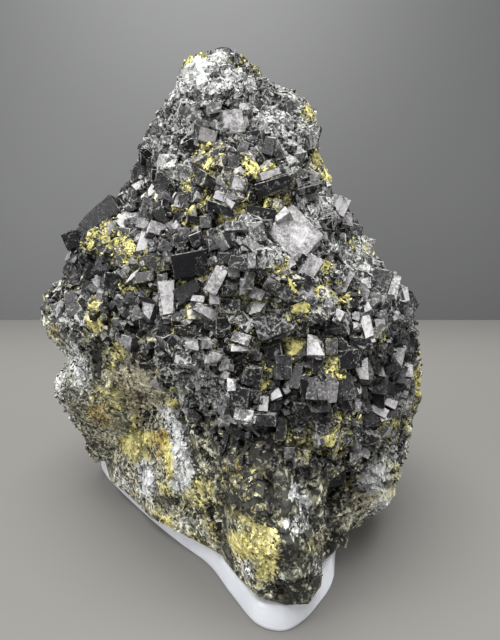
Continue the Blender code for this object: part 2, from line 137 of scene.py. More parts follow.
# The crystals read one by one: across, down, width, height, turn in degrees, and how light its face is,
# which is partly a light coating and partly a painted highlight
MAIN_CRYSTALS = [
    (236, 104, 12, 9, 0, 0.35), (233, 121, 18, 20, 10, 0.85), (221, 128, 17, 7, -35, 0.4),
    (208, 136, 17, 12, -12, 0.95), (262, 113, 22, 11, 5, 0.3), (255, 138, 12, 14, 8, 0.25),
    (284, 141, 13, 8, 0, 0.05), (287, 105, 17, 14, -30, 0.35), (200, 122, 12, 13, 5, 0.75),
    (187, 115, 15, 8, -12, 0.35), (276, 150, 9, 17, 25, 0.4), (243, 147, 9, 12, -20, 0.6),
    (263, 125, 14, 12, 0, 0.6), (235, 73, 13, 8, 10, 0.2), (196, 98, 10, 10, 20, 0.1),
    (175, 123, 10, 5, -15, 0.05), (286, 126, 12, 10, 10, 0.5), (303, 142, 14, 14, 10, 0.45),
    (300, 122, 8, 10, 0, 0.1), (172, 140, 16, 9, -5, 0.05), (190, 147, 12, 12, 30, 0.1),
    (154, 132, 10, 10, 20, 0.3), (215, 108, 12, 9, 15, 0.45), (186, 170, 15, 12, 5, 0.4),
    (234, 161, 9, 14, -5, 0.25), (248, 158, 12, 11, 15, 0.8), (271, 174, 19, 7, 17, 0.95),
    (275, 187, 34, 13, 14, 0.03), (297, 193, 42, 7, 13, 0.1), (317, 186, 16, 8, 10, 0.0),
    (237, 173, 12, 7, 30, 0.95), (240, 184, 13, 13, -15, 0.8), (236, 197, 17, 13, -12, 0.75),
    (220, 196, 11, 8, -20, 1.0), (229, 203, 9, 6, -30, 1.0), (211, 183, 16, 12, -25, 0.35),
    (204, 164, 10, 10, 35, 0.4), (222, 208, 25, 9, -10, 0.1), (187, 200, 16, 12, 12, 0.25),
    (198, 194, 10, 14, 0, 0.3), (195, 220, 13, 6, -8, 0.0), (206, 222, 10, 10, 0, 0.5),
    (258, 231, 13, 17, 8, 0.45), (253, 245, 18, 8, -40, 0.65), (215, 240, 12, 19, 8, 0.22),
    (234, 226, 14, 8, 5, 0.45), (261, 213, 26, 11, -8, 0.08), (295, 234, 37, 38, 44, 0.86),
    (296, 206, 16, 12, 10, 0.4), (322, 206, 19, 21, -6, 0.28), (340, 204, 14, 17, -25, 1.0),
    (342, 221, 18, 12, 10, 0.9), (354, 233, 13, 18, -15, 0.45), (337, 238, 16, 12, 0, 0.3),
    (326, 224, 12, 11, 10, 0.0), (314, 227, 11, 7, 22, 1.0), (327, 247, 22, 9, -5, 0.02),
    (358, 246, 16, 8, 0, 0.45), (99, 218, 38, 19, 40, 0.06), (71, 240, 12, 14, 20, 0.08),
    (142, 183, 16, 9, 42, 1.0), (150, 191, 11, 11, 42, 1.0), (137, 194, 12, 9, 5, 0.22),
    (138, 203, 9, 9, 20, 0.8), (128, 224, 23, 13, -44, 1.0), (134, 213, 8, 6, -20, 0.95),
    (122, 236, 14, 16, -8, 0.3), (144, 210, 10, 21, -24, 0.25), (158, 211, 15, 14, -20, 0.35),
    (145, 223, 14, 9, -12, 0.8), (160, 229, 18, 12, -20, 0.75), (147, 245, 18, 25, -14, 1.0),
    (163, 183, 12, 17, 0, 0.22), (139, 170, 20, 10, 25, 0.03), (146, 156, 10, 12, 0, 0.05),
    (161, 153, 13, 8, -15, 0.55), (166, 202, 9, 8, 0, 0.05), (178, 186, 12, 10, -20, 0.15),
    (178, 238, 13, 14, 0, 0.3), (196, 240, 12, 12, 20, 0.15), (166, 247, 12, 10, -30, 0.35),
    (190, 265, 31, 21, 10, 0.04), (189, 290, 26, 14, 30, 0.12), (215, 280, 13, 24, -28, 0.85),
    (214, 297, 10, 13, -5, 1.0), (199, 298, 12, 6, -8, 0.95), (207, 310, 23, 11, -32, 0.9),
    (228, 306, 20, 13, -4, 0.15), (234, 317, 13, 9, 10, 0.1), (257, 309, 14, 13, -10, 1.0),
    (244, 288, 8, 16, -4, 0.75), (251, 280, 9, 16, -15, 0.4), (256, 294, 12, 9, -20, 0.65),
    (273, 324, 31, 22, 21, 0.15), (279, 290, 26, 10, -33, 0.3), (264, 291, 12, 14, 0, 0.0),
    (296, 283, 13, 12, -25, 0.2), (263, 259, 10, 18, 8, 0.3), (252, 261, 7, 13, 0, 0.6),
    (240, 262, 19, 11, -8, 0.03), (226, 259, 12, 10, 0, 0.08), (234, 272, 11, 9, 0, 0.35),
    (232, 286, 17, 18, 0, 0.1), (224, 328, 13, 17, 0, 0.1), (211, 326, 12, 9, -10, 0.3),
    (245, 322, 16, 12, -40, 0.1), (241, 338, 18, 10, -15, 0.5), (240, 348, 16, 7, -8, 0.95),
    (255, 346, 11, 14, -10, 0.15), (272, 352, 18, 14, 10, 0.02), (192, 346, 12, 9, 8, 0.95),
    (207, 344, 10, 8, 0, 0.65), (167, 298, 15, 32, 4, 1.0), (174, 290, 6, 14, 5, 0.9),
    (311, 268, 14, 20, -35, 0.9), (343, 280, 15, 19, -25, 0.9), (335, 270, 9, 11, 0, 0.85),
    (330, 255, 9, 9, -20, 0.9), (324, 250, 10, 8, 0, 0.1), (306, 283, 12, 16, -30, 0.2),
    (308, 298, 19, 8, -27, 0.5), (364, 284, 11, 11, 12, 1.0), (366, 295, 6, 9, -15, 0.85),
    (355, 292, 13, 8, 0, 0.1), (356, 275, 19, 11, -18, 0.15), (380, 282, 16, 22, -12, 0.35),
    (395, 285, 8, 22, -20, 0.65), (407, 295, 6, 13, 10, 0.95), (330, 300, 10, 15, -8, 0.4),
    (338, 315, 9, 10, -25, 1.0), (316, 317, 17, 14, 20, 0.25), (351, 304, 13, 7, 12, 0.0),
    (346, 315, 9, 11, 0, 0.35), (357, 316, 7, 7, -20, 0.95), (355, 325, 8, 8, 12, 0.9),
    (337, 328, 25, 15, 0, 0.35), (367, 327, 10, 21, 12, 1.0), (380, 325, 12, 10, -3, 0.95),
    (379, 312, 15, 11, -20, 0.4), (393, 321, 12, 15, 0, 0.0), (404, 337, 25, 15, -12, 0.03),
    (371, 350, 8, 9, 10, 0.7), (412, 314, 4, 13, 5, 0.85), (362, 343, 22, 14, 4, 0.1),
    (343, 344, 14, 9, -35, 0.0), (316, 345, 15, 18, -5, 0.95), (383, 348, 9, 8, 0, 0.5),
    (399, 352, 9, 9, 0, 0.9), (333, 347, 11, 14, 0, 0.4), (117, 281, 20, 14, -8, 0.18),
    (101, 284, 12, 13, 22, 0.8), (118, 259, 12, 13, -10, 0.18), (103, 264, 16, 14, 0, 0.03),
    (86, 263, 11, 10, 0, 0.12), (148, 261, 17, 10, 8, 0.06), (143, 277, 15, 10, 10, 0.12),
    (147, 302, 16, 7, -15, 0.0), (147, 311, 11, 14, -12, 0.75), (136, 312, 10, 13, 20, 0.55),
    (117, 295, 14, 7, 0, 0.08), (150, 323, 18, 11, 8, 0.1), (163, 322, 11, 13, 0, 0.3),
    (73, 303, 14, 22, 10, 0.15), (130, 297, 9, 10, 0, 0.3), (178, 315, 12, 10, 0, 0.06),
    (183, 330, 14, 8, 0, 0.1), (302, 262, 9, 14, -30, 0.15), (290, 305, 16, 7, 0, 0.05),
    (300, 330, 16, 12, 10, 0.03), (214, 359, 15, 11, -8, 1.0), (226, 364, 12, 14, -8, 0.85),
    (226, 376, 9, 11, -10, 1.0), (232, 385, 7, 12, 8, 1.0), (252, 375, 16, 18, -12, 0.15),
    (239, 397, 15, 16, -8, 0.03), (220, 395, 14, 8, 28, 0.05), (211, 382, 22, 10, -4, 0.18),
    (211, 372, 18, 8, -4, 0.1), (205, 398, 9, 15, 0, 0.25), (189, 398, 14, 17, 8, 0.15),
    (185, 358, 22, 13, 0, 0.15), (180, 370, 18, 11, 0, 0.05), (192, 377, 7, 7, 0, 0.7),
    (283, 367, 14, 22, 0, 0.28), (296, 374, 9, 27, 0, 0.05), (274, 394, 11, 9, 28, 1.0),
    (273, 385, 12, 8, 0, 0.35), (263, 404, 9, 14, -8, 1.0), (255, 396, 10, 11, 0, 0.05),
    (276, 406, 10, 10, 0, 0.2), (228, 418, 15, 15, 10, 0.55), (244, 415, 17, 11, -8, 0.5),
    (264, 420, 20, 10, 0, 0.25), (282, 431, 9, 18, 0, 0.02), (361, 371, 18, 24, 14, 1.0),
    (377, 367, 10, 18, 20, 0.95), (397, 361, 12, 23, -6, 1.0), (408, 368, 13, 13, -10, 0.9),
    (405, 389, 8, 20, -12, 0.9), (349, 358, 19, 17, 4, 0.06), (349, 385, 14, 25, 0, 0.17),
    (347, 404, 11, 11, 0, 0.22), (338, 390, 8, 18, 0, 0.28), (333, 393, 10, 21, 4, 1.0),
    (359, 388, 7, 12, 12, 1.0), (365, 389, 9, 16, 0, 0.03), (378, 382, 15, 18, -5, 0.35),
    (377, 400, 14, 14, 0, 0.1), (366, 403, 11, 14, 0, 0.2), (374, 416, 20, 16, 0, 0.02),
    (378, 410, 15, 9, -32, 0.9), (384, 418, 6, 5, 20, 0.95), (391, 402, 16, 10, -30, 1.0),
    (391, 389, 16, 15, 0, 0.0), (400, 375, 9, 14, 0, 0.02), (392, 412, 12, 9, 0, 0.25),
    (322, 391, 13, 17, 0, 0.5), (312, 388, 9, 19, 0, 0.12), (318, 366, 9, 14, -5, 0.1),
    (305, 387, 8, 15, 0, 0.1), (320, 406, 16, 11, 0, 0.06), (327, 416, 10, 10, 0, 0.35),
    (321, 426, 13, 11, -20, 0.2), (322, 440, 12, 14, 0, 0.38), (333, 440, 9, 18, 0, 0.1),
    (349, 437, 17, 12, 28, 0.12), (366, 441, 20, 14, -20, 0.22), (355, 457, 10, 10, 0, 0.85),
    (365, 453, 9, 8, -20, 0.85), (378, 432, 14, 11, 0, 0.2), (290, 453, 10, 12, 0, 0.45),
    (335, 478, 20, 13, 0, 0.15), (262, 83, 11, 8, 20, 0.3), (278, 100, 12, 9, -25, 0.2),
    (255, 96, 9, 8, 0, 0.6), (300, 160, 12, 12, 15, 0.5), (309, 196, 14, 10, 10, 0.7),
    (322, 236, 10, 9, 0, 0.6), (268, 262, 9, 10, 0, 0.5), (186, 232, 10, 9, 0, 0.5),
]
# Their faces are drawn wider by this, for what the cut edges and the lean take away, and none stands nearer
# to the rim than the second
MAIN_WIDER = 1.17
MAIN_OUTERMOST = 0.95
# How far in front of the rock such a face stands: at least, by its width, and by its lightness. Its crystal
# goes on into the rock by the last.
MAIN_STAND = 0.9 * MM
MAIN_STAND_BY_SIZE = 0.25
MAIN_STAND_BY_LIGHT = 0.35 * MM
MAIN_ROOT = 0.9 * MM
# How much it faces the eye rather than away from the rock, how unevenly it leans, and how broken it is: a
# little, and more when it is light. Past the last width it leans and breaks less and less.
MAIN_FACING = 0.7
MAIN_LEAN = 0.2
MAIN_BROKEN = 0.15
MAIN_BROKEN_BY_LIGHT = 0.13
MAIN_STEADY = 1.8 * MM
# Smaller crystals in line with each: how many, their size to its own, how far their faces lie below its
# face, and how far they stand out of its side, to its size
MAIN_GROWTHS = (4, (0.3, 0.65), (0.05 * MM, 0.7 * MM), (0.02, 0.16))

# The crystals between them: how many are tried, their sizes, how far their faces stand above the rock, and
# how far in the frame they go past the crust's edge
LARGE_CRYSTALS = (6000, (1.0 * MM, 2.1 * MM), (0.5 * MM, 1.1 * MM), 0.0)
LARGE_GROWTHS = (3, (0.35, 0.8), (0.1 * MM, 0.9 * MM), (0.05, 0.3))
SMALL_CRYSTALS = (16000, (0.45 * MM, 1.15 * MM), (0.5 * MM, 1.0 * MM), 30.0)
# Sizes go with this power of an even share, so most are small, and each side varies by the next. Near the
# rim a crystal stands lower by this. It keeps clear of the faces read by a share of its size. Last, how
# broken it is.
SIZE_POWER = 1.6
SIDE_RANGE = (0.65, 1.3)
RIM_SINK = 0.6 * MM
CLEAR_OF_MAIN = 0.22
BROKEN_RANGE = (0.1, 0.6)

# A crystal's corners are cut by these shares of its half size, and chipped ones by the second. A broken one
# narrows outwards by up to the third, and leans by the fourth.
CORNER_CUT = (0.03, 0.12)
CORNER_CHIP = (0.2, 0.85)
BROKEN_TAPER = (-0.02, 0.45)
BROKEN_LEAN = 0.35
# How much a crystal's other faces are as light as its outer one, how many of them are light anyway and how
# light, and how much darker they get in a dark place, which is partly painted shade. A face's lightness is
# partly a light coating and partly a painted highlight.
SIDES_ALIKE = 0.22
LIGHT_SIDES = (0.08, 0.75)
SIDES_DARKER = 0.7

# How deep a crystal's inner end goes into the rock, and how far off it may be and still be made longer
ROOT_DEPTH = 0.25 * MM
ROOT_LONGEST = 0.45 * MM

# How the size of the crystals between changes down the frame
SIZE_DOWN = [(50, 0.45), (110, 0.55), (160, 0.85), (220, 1.0), (340, 0.9), (400, 0.75), (450, 0.6)]

# A colour is full up to 0.7 of its place's half size, and fades to nothing at this much of it
SPOT_END = 1.7
# Coloured places: across, down, half width, half height, turn in degrees, and strength
YELLOW_SPOTS = [
    (252, 169, 10, 8, 0, 1.0), (270, 167, 6, 5, 0, 0.8), (204, 203, 6, 8, 0, 1.0), (190, 190, 5, 5, 0, 0.8),
    (190, 210, 14, 5, 5, 1.0), (228, 217, 12, 4, 8, 1.0), (243, 208, 6, 9, -25, 1.0),
    (268, 205, 4, 17, 38, 1.0), (206, 160, 10, 12, 0, 0.6), (222, 160, 4, 12, 0, 0.7),
    (213, 172, 8, 4, -20, 0.8), (194, 222, 8, 7, -30, 0.8), (107, 238, 9, 12, 35, 1.0),
    (94, 247, 12, 6, 0, 1.0), (128, 256, 9, 13, 10, 1.0), (140, 266, 10, 5, 0, 0.9),
    (157, 269, 4, 4, 0, 0.8), (133, 285, 7, 5, 0, 0.8), (150, 285, 7, 6, 0, 0.7),
    (183, 283, 12, 3, 30, 0.8), (205, 275, 9, 4, 28, 0.9), (178, 330, 14, 4, 5, 0.8),
    (187, 309, 4, 9, 0, 0.7), (229, 295, 5, 5, 0, 0.8), (288, 288, 9, 7, -35, 1.0),
    (282, 268, 5, 6, 0, 0.9), (268, 272, 10, 4, 25, 0.8), (274, 304, 8, 5, 0, 0.8),
    (298, 308, 10, 5, 20, 0.9), (250, 334, 10, 6, -30, 0.8), (238, 325, 6, 6, -30, 0.7),
    (291, 345, 9, 12, 0, 1.0), (272, 342, 10, 3, 8, 0.9), (262, 358, 4, 9, 0, 1.0),
    (288, 353, 7, 5, 0, 0.9), (268, 370, 4, 8, 20, 1.0), (262, 384, 4, 7, 0, 0.8),
    (290, 322, 4, 9, -10, 0.8), (306, 310, 5, 5, 0, 0.8), (318, 295, 5, 9, 15, 0.8),
    (326, 270, 7, 5, 0, 0.9), (330, 284, 6, 5, -30, 0.8), (340, 303, 8, 4, 20, 0.9),
    (352, 296, 5, 3, 20, 0.8), (345, 247, 4, 5, 0, 0.7), (360, 253, 6, 4, 0, 0.8), (378, 340, 3, 8, 0, 0.9),
    (302, 346, 4, 6, 0, 1.0), (324, 352, 5, 7, 0, 1.0), (333, 363, 9, 8, 20, 1.0), (332, 376, 6, 5, 0, 0.9),
    (308, 366, 5, 6, 0, 0.7), (340, 424, 8, 5, -25, 1.0), (345, 416, 10, 5, 0, 0.7),
    (311, 436, 7, 8, -20, 0.9), (328, 453, 15, 5, 0, 0.8), (376, 440, 6, 6, 0, 0.6),
    (390, 424, 6, 7, 0, 0.9), (386, 438, 4, 9, 0, 0.7), (420, 372, 4, 16, 8, 1.0), (413, 384, 7, 8, 0, 0.9),
    (406, 408, 8, 9, 0, 0.7), (403, 424, 5, 5, 0, 0.9), (262, 70, 13, 6, -42, 1.4),
    (290, 90, 18, 4, -28, 1.0), (311, 110, 5, 12, 15, 1.5), (317, 156, 5, 10, -10, 1.6),
    (326, 177, 5, 12, 28, 1.5), (338, 195, 5, 8, 30, 1.1), (372, 243, 4, 18, 27, 1.3),
    (310, 172, 7, 6, 0, 0.6), (97, 322, 11, 8, 0, 0.9), (94, 306, 4, 8, 0, 0.8), (68, 290, 4, 4, 0, 0.9),
    (118, 350, 8, 9, -30, 0.6), (112, 364, 7, 6, 0, 0.6), (163, 375, 7, 7, 0, 0.7),
    (176, 392, 8, 7, 0, 0.8), (172, 404, 7, 6, 0, 0.8), (110, 400, 18, 14, 0, 0.45),
    (133, 425, 3, 11, -5, 1.0), (140, 441, 14, 8, 10, 1.45), (127, 449, 5, 6, 0, 1.0),
    (140, 455, 9, 8, 0, 1.2), (168, 450, 6, 14, 12, 1.2), (173, 466, 8, 8, 0, 0.9),
    (176, 474, 7, 5, 0, 1.0), (165, 488, 8, 6, 0, 0.6), (203, 484, 8, 6, 0, 0.8),
    (200, 497, 13, 11, 0, 0.5), (168, 522, 7, 4, -20, 0.8), (157, 511, 4, 5, 0, 0.6),
    (210, 528, 7, 12, 28, 0.6), (236, 513, 10, 5, 0, 0.55), (232, 470, 6, 6, 0, 0.7),
    (257, 469, 8, 5, 0, 0.5), (242, 459, 6, 4, 0, 0.5), (247, 522, 9, 5, 0, 0.7), (240, 541, 12, 9, 0, 1.0),
    (262, 537, 13, 13, 0, 0.85), (270, 556, 8, 20, 0, 0.8), (262, 572, 8, 11, 0, 0.75),
    (250, 552, 11, 9, 0, 0.8), (280, 595, 4, 7, 0, 0.5), (348, 484, 7, 6, 0, 0.4), (312, 547, 6, 5, 0, 0.5),
    (290, 432, 8, 7, 0, 0.6), (395, 470, 5, 6, 0, 0.5), (195, 500, 28, 20, 0, 0.36),
    (245, 506, 28, 18, 0, 0.26), (238, 482, 34, 14, 0, 0.24), (315, 440, 26, 13, 0, 0.7),
    (420, 378, 7, 26, 5, 1.2), (105, 235, 14, 14, 20, 0.7), (284, 96, 20, 7, -32, 0.25),
    (308, 116, 8, 11, 15, 0.6), (258, 76, 9, 6, -40, 0.5), (262, 205, 22, 7, -10, 0.65),
    (246, 338, 24, 13, 0, 0.45), (275, 198, 12, 10, 30, 0.5), (240, 300, 24, 16, 0, 0.42),
    (235, 178, 30, 7, 0, 0.4),
]
ORANGE_SPOTS = [
    (160, 437, 8, 7, 0, 0.9), (160, 449, 4, 9, 0, 0.6), (98, 412, 12, 9, 0, 0.6), (106, 425, 11, 4, 0, 0.5),
    (235, 471, 8, 5, 0, 0.5), (342, 424, 6, 4, -25, 0.6), (243, 546, 4, 6, 0, 0.5), (56, 332, 5, 5, 0, 0.6),
    (137, 493, 6, 3, -20, 0.6), (213, 527, 4, 6, 28, 0.5), (280, 87, 9, 4, -25, 0.5),
    (216, 170, 5, 4, 0, 0.5), (107, 240, 4, 5, 20, 0.6), (330, 285, 5, 4, 0, 0.4), (285, 594, 4, 7, 0, 0.4),
]
WHITE_SPOTS = [
    (193, 68, 15, 15, 20, 1.3), (208, 60, 14, 8, 10, 1.2), (190, 82, 16, 9, 30, 0.9),
    (220, 68, 12, 9, 0, 0.6), (240, 85, 20, 10, 0, 0.75), (213, 88, 14, 8, 0, 0.75),
    (175, 95, 14, 10, 30, 0.75), (225, 118, 40, 26, 0, 0.34), (270, 120, 26, 14, 0, 0.6),
    (175, 125, 26, 12, -10, 0.4), (165, 150, 18, 10, -15, 0.45), (195, 108, 16, 8, 0, 0.6),
    (178, 170, 14, 12, 0, 0.55), (287, 158, 7, 13, 0, 0.6), (265, 85, 14, 7, -20, 0.7),
    (286, 92, 20, 8, -30, 1.1), (312, 116, 4, 9, 15, 0.9), (319, 160, 5, 9, -15, 0.6),
    (327, 178, 5, 12, 30, 0.7), (312, 202, 22, 24, 0, 0.6), (270, 250, 26, 20, 0, 0.6),
    (250, 228, 10, 8, 0, 0.5), (232, 228, 10, 8, 0, 0.5), (378, 255, 5, 18, 25, 0.8),
    (392, 283, 7, 16, 20, 0.7), (412, 315, 3, 14, 0, 0.7), (360, 262, 12, 8, 0, 0.5),
    (405, 400, 8, 14, 0, 0.5), (80, 372, 9, 20, 5, 0.7), (73, 345, 5, 9, 0, 0.7), (62, 314, 5, 14, 40, 0.8),
    (75, 325, 10, 7, 30, 0.6), (181, 447, 7, 21, 3, 1.4), (184, 470, 7, 14, 0, 1.3),
    (172, 425, 5, 10, 30, 0.7), (168, 412, 9, 7, 0, 0.7), (178, 486, 6, 6, 0, 0.85),
    (145, 478, 9, 17, 5, 0.95), (150, 488, 4, 9, 0, 0.6), (297, 492, 6, 8, 30, 0.9),
    (303, 502, 7, 4, -30, 0.95), (297, 525, 10, 8, 0, 0.5), (305, 513, 5, 5, 0, 0.6),
    (240, 417, 18, 8, 0, 0.6), (215, 405, 10, 8, 0, 0.5), (246, 570, 6, 8, 0, 0.6),
    (190, 520, 10, 7, 0, 0.45), (327, 512, 3, 3, 0, 0.9), (374, 476, 12, 14, 0, 1.0),
    (385, 505, 11, 6, 0, 0.75), (315, 566, 4, 10, 0, 0.45), (283, 581, 3, 2, 0, 0.9),
    (380, 455, 8, 7, 0, 0.5), (65, 365, 4, 14, 0, 0.6), (122, 480, 12, 12, 30, 0.45),
    (198, 376, 32, 26, 0, 0.58), (196, 316, 30, 20, 0, 0.25), (258, 316, 32, 28, 0, 0.52),
    (300, 140, 16, 24, 0, 0.5), (325, 262, 24, 20, 0, 0.45), (362, 262, 16, 22, 0, 0.6),
    (318, 300, 26, 22, 0, 0.45), (380, 312, 22, 22, 0, 0.36), (320, 436, 24, 14, 0, 0.45),
    (382, 446, 22, 16, 0, 0.4),
]
CREAM_SPOTS = [
    (147, 342, 14, 8, 0, 1.0), (135, 350, 7, 4, 0, 0.9), (128, 375, 14, 7, -10, 0.6),
    (118, 400, 6, 12, -20, 0.8), (136, 412, 3, 17, 28, 0.8), (124, 393, 3, 9, 45, 0.8),
    (150, 405, 6, 4, 0, 0.7), (186, 386, 8, 5, 0, 0.9), (162, 415, 8, 6, 0, 0.7),
    (148, 433, 13, 5, -15, 0.7), (133, 457, 7, 6, 0, 1.0), (152, 468, 4, 9, 15, 0.8),
    (198, 443, 9, 5, 0, 0.8), (262, 446, 6, 4, -25, 1.0), (230, 551, 4, 13, 22, 1.0),
    (239, 563, 4, 9, 30, 1.0), (258, 588, 9, 4, -30, 0.9), (185, 516, 14, 7, 0, 0.8),
    (190, 503, 10, 6, 0, 0.8), (318, 546, 4, 6, 0, 0.6), (377, 493, 5, 4, 0, 0.9), (363, 504, 3, 5, 0, 0.9),
    (120, 478, 13, 10, 30, 0.5), (165, 383, 8, 5, 0, 0.6), (320, 535, 6, 9, 20, 0.5),
    (286, 480, 5, 4, 0, 0.5), (305, 462, 12, 3, 0, 0.5), (252, 490, 5, 8, 0, 0.5),
    (135, 455, 38, 30, 0, 0.55), (145, 492, 30, 20, 0, 0.5), (95, 410, 28, 30, 0, 0.45),
    (190, 500, 28, 24, 0, 0.22), (376, 490, 26, 22, 0, 0.95), (240, 545, 22, 24, 0, 0.2),
    (280, 92, 22, 9, -30, 0.8), (140, 385, 34, 28, 0, 0.75),
]
# Dark places: partly dark rock and black crystals, and partly painted shade in recesses, under ledges and in
# the undercut lower part
DARK_AND_SHADE_SPOTS = [
    (102, 446, 11, 4, 0, 1.0), (120, 448, 4, 4, 0, 0.9), (97, 358, 7, 14, 0, 0.9), (91, 426, 8, 9, 0, 0.6),
    (82, 410, 9, 14, 20, 0.5), (136, 398, 10, 9, 0, 0.5), (148, 420, 8, 9, 0, 0.5),
    (125, 362, 8, 7, 0, 0.7), (152, 446, 6, 6, 0, 0.8), (168, 500, 13, 5, 0, 1.0),
    (141, 465, 4, 8, 20, 0.6), (125, 463, 5, 7, 30, 0.6), (195, 455, 9, 5, 0, 0.8),
    (215, 446, 7, 6, 0, 0.9), (235, 441, 22, 9, 0, 0.7), (270, 488, 7, 8, -35, 1.0),
    (273, 500, 5, 8, 0, 0.9), (265, 511, 12, 5, 0, 0.8), (296, 506, 7, 3, 0, 0.8), (306, 477, 4, 9, 0, 0.8),
    (325, 480, 11, 10, 0, 0.7), (345, 476, 15, 11, 0, 0.4), (329, 519, 6, 14, 15, 0.8),
    (345, 505, 18, 7, 0, 0.35), (300, 548, 11, 14, 0, 0.8), (290, 566, 8, 13, 0, 0.7),
    (310, 579, 13, 6, 10, 1.0), (285, 590, 5, 9, 0, 1.0), (298, 597, 10, 7, 0, 0.8),
    (330, 549, 4, 8, 0, 1.0), (340, 535, 5, 5, 0, 0.9), (388, 484, 6, 4, 20, 1.0), (64, 394, 7, 8, 0, 0.6),
    (232, 500, 6, 6, 0, 0.9), (222, 492, 6, 6, 0, 0.7), (217, 528, 4, 13, 22, 1.0),
    (228, 552, 4, 14, 28, 1.0), (55, 305, 9, 12, 0, 0.6), (155, 360, 14, 10, 0, 0.4),
    (185, 425, 6, 4, 0, 0.6), (285, 450, 14, 8, 0, 0.6), (370, 465, 10, 8, 0, 0.5),
    (398, 440, 7, 10, 0, 0.8), (205, 425, 10, 8, 0, 0.6), (258, 445, 46, 20, 0, 0.75),
    (256, 490, 34, 28, 0, 1.0), (300, 468, 30, 16, 0, 0.35), (312, 505, 26, 22, 0, 0.5),
    (302, 562, 18, 30, 0, 0.7), (385, 376, 28, 36, 0, 1.0), (245, 372, 50, 26, 0, 0.25),
    (88, 262, 22, 26, 0, 0.9), (97, 219, 20, 9, 40, 1.0), (188, 290, 14, 8, 30, 0.8),
    (190, 265, 16, 11, 10, 0.8), (274, 324, 15, 11, 20, 0.7), (296, 192, 20, 5, 12, 0.8),
    (385, 318, 26, 20, 0, 0.45), (150, 262, 14, 8, 0, 0.6), (110, 264, 12, 8, 0, 0.8),
    (285, 290, 14, 6, -33, 0.7), (195, 272, 28, 24, 0, 0.4), (296, 396, 34, 26, 0, 0.6),
    (165, 375, 8, 8, 0, 0.2), (130, 310, 30, 18, 0, 0.5),
]

# Cracks and hollows in the rock (depth above 0) and ridges on it (below 0): the depth in millimetres, the
# half width in the frame, and the points that the line goes through
CREASES = [
    (0.9, 3.0, [(126, 399), (127, 415)]), (0.9, 2.6, [(154, 468), (155, 494)]),
    (0.8, 3.0, [(144, 447), (152, 459)]), (0.5, 2.0, [(172, 481), (182, 480)]),
    (1.3, 4.0, [(213, 514), (226, 546), (240, 577)]), (1.1, 4.0, [(331, 538), (328, 558)]),
    (0.9, 4.5, [(267, 482), (277, 503)]), (0.5, 3.0, [(305, 470), (308, 488)]),
    (0.8, 5.0, [(133, 332), (160, 331), (186, 336)]), (0.7, 5.0, [(96, 350), (98, 370)]),
    (1.4, 5.0, [(281, 586), (318, 581)]), (0.8, 5.0, [(284, 584), (284, 602)]),
    (0.6, 4.0, [(158, 500), (178, 501)]), (-0.8, 5.0, [(112, 385), (127, 396), (141, 424)]),
    (-0.7, 7.0, [(134, 344), (158, 341)]), (-0.6, 6.0, [(230, 540), (240, 568), (262, 592)]),
    (-0.5, 5.0, [(150, 462), (146, 490)]), (0.6, 4.0, [(330, 505), (333, 530)]),
    (0.7, 4.0, [(384, 487), (394, 482)]),
]
# How the colours read in the frame give way to noise: from this tilt, over this much more of it. Before
# that, where the surface is seen almost edge on, they are left only in patches of this size, which show
# where the first number less the second times a noise is above 0.
FRONT_FADES = (1.55, 0.45)
EDGE_ON = (1.28, 0.2)
EDGE_PATCH = 3.6 * MM
EDGE_PATCH_LEVELS = (2.6, 4.5)

# Each colour: where it is read in front, and the noise behind: a factor, a size, what is taken off, the most
# that may be left, and its number
STAINS_AND_SHADE = {
    "yellow": (YELLOW_SPOTS, 2.4, 9 * MM, 1.2, 0.6, 71),
    "orange": (ORANGE_SPOTS, 3.0, 7 * MM, 2.0, 0.6, 73),
    "white": (WHITE_SPOTS, 2.6, 8 * MM, 1.5, 0.7, 79),
    "cream": (CREAM_SPOTS, 2.8, 6 * MM, 1.7, 0.7, 101),
    # dark is partly dark rock and partly painted shade
    "dark": (DARK_AND_SHADE_SPOTS, 2.8, 6 * MM, 1.5, 0.8, 103),
}

# How fast a colour gets solid, without duller grains, past its full amount
SOLID = 1.5

# The crust's blocks are turned by these right-angled directions
DRUSE_TURN = np.linalg.qr(np.array([[2.0, 1.0, -1.0], [-1.0, 2.0, 1.0], [1.0, 0.5, 2.0]]))[0]

# A cube with cut edges: each corner has one point on each of its three faces
CORNER_SIGNS = np.array([(x, y, z) for x in (-1, 1) for y in (-1, 1) for z in (-1, 1)], float)


def one_long(directions):
    """The same directions, each one unit long."""
    return directions / np.linalg.norm(directions, axis=-1, keepdims=True)


def sight_line(frame_points):
    """Directions from the eye through points of the frame, one unit long in depth (+Y)."""
    across = (frame_points[..., 0] - FRAME_MIDDLE[0]) / FRAME_FOCAL
    up = (FRAME_MIDDLE[1] - frame_points[..., 1]) / FRAME_FOCAL
    depth = np.cos(EYE_TILT) + up * np.sin(EYE_TILT)
    rise = up * np.cos(EYE_TILT) - np.sin(EYE_TILT)
    return np.stack([across / depth, np.ones_like(depth), rise / depth], axis=-1)


def at_depth(frame_points, depth):
    """Points of the frame placed at a distance in front of the eye."""
    return EYE + sight_line(frame_points) * depth[..., None]


def at_height(frame_points, height):
    """Points of the frame placed on the level plane at a height above the floor."""
    line = sight_line(frame_points)
    return EYE + line * ((height - EYE[2]) / line[..., 2])[..., None]


def ahead_of_eye(points):
    """How far ahead of the eye points of space are, along its own axis."""
    offset = points - EYE
    return offset[..., 1] * np.cos(EYE_TILT) - offset[..., 2] * np.sin(EYE_TILT)


def frame_place(points):
    """Where points of space stand in the eye's frame: across and down."""
    offset = points - EYE
    ahead = ahead_of_eye(points)
    up = offset[..., 1] * np.sin(EYE_TILT) + offset[..., 2] * np.cos(EYE_TILT)
    return FRAME_MIDDLE + FRAME_FOCAL * np.stack([offset[..., 0] / ahead, -up / ahead], axis=-1)


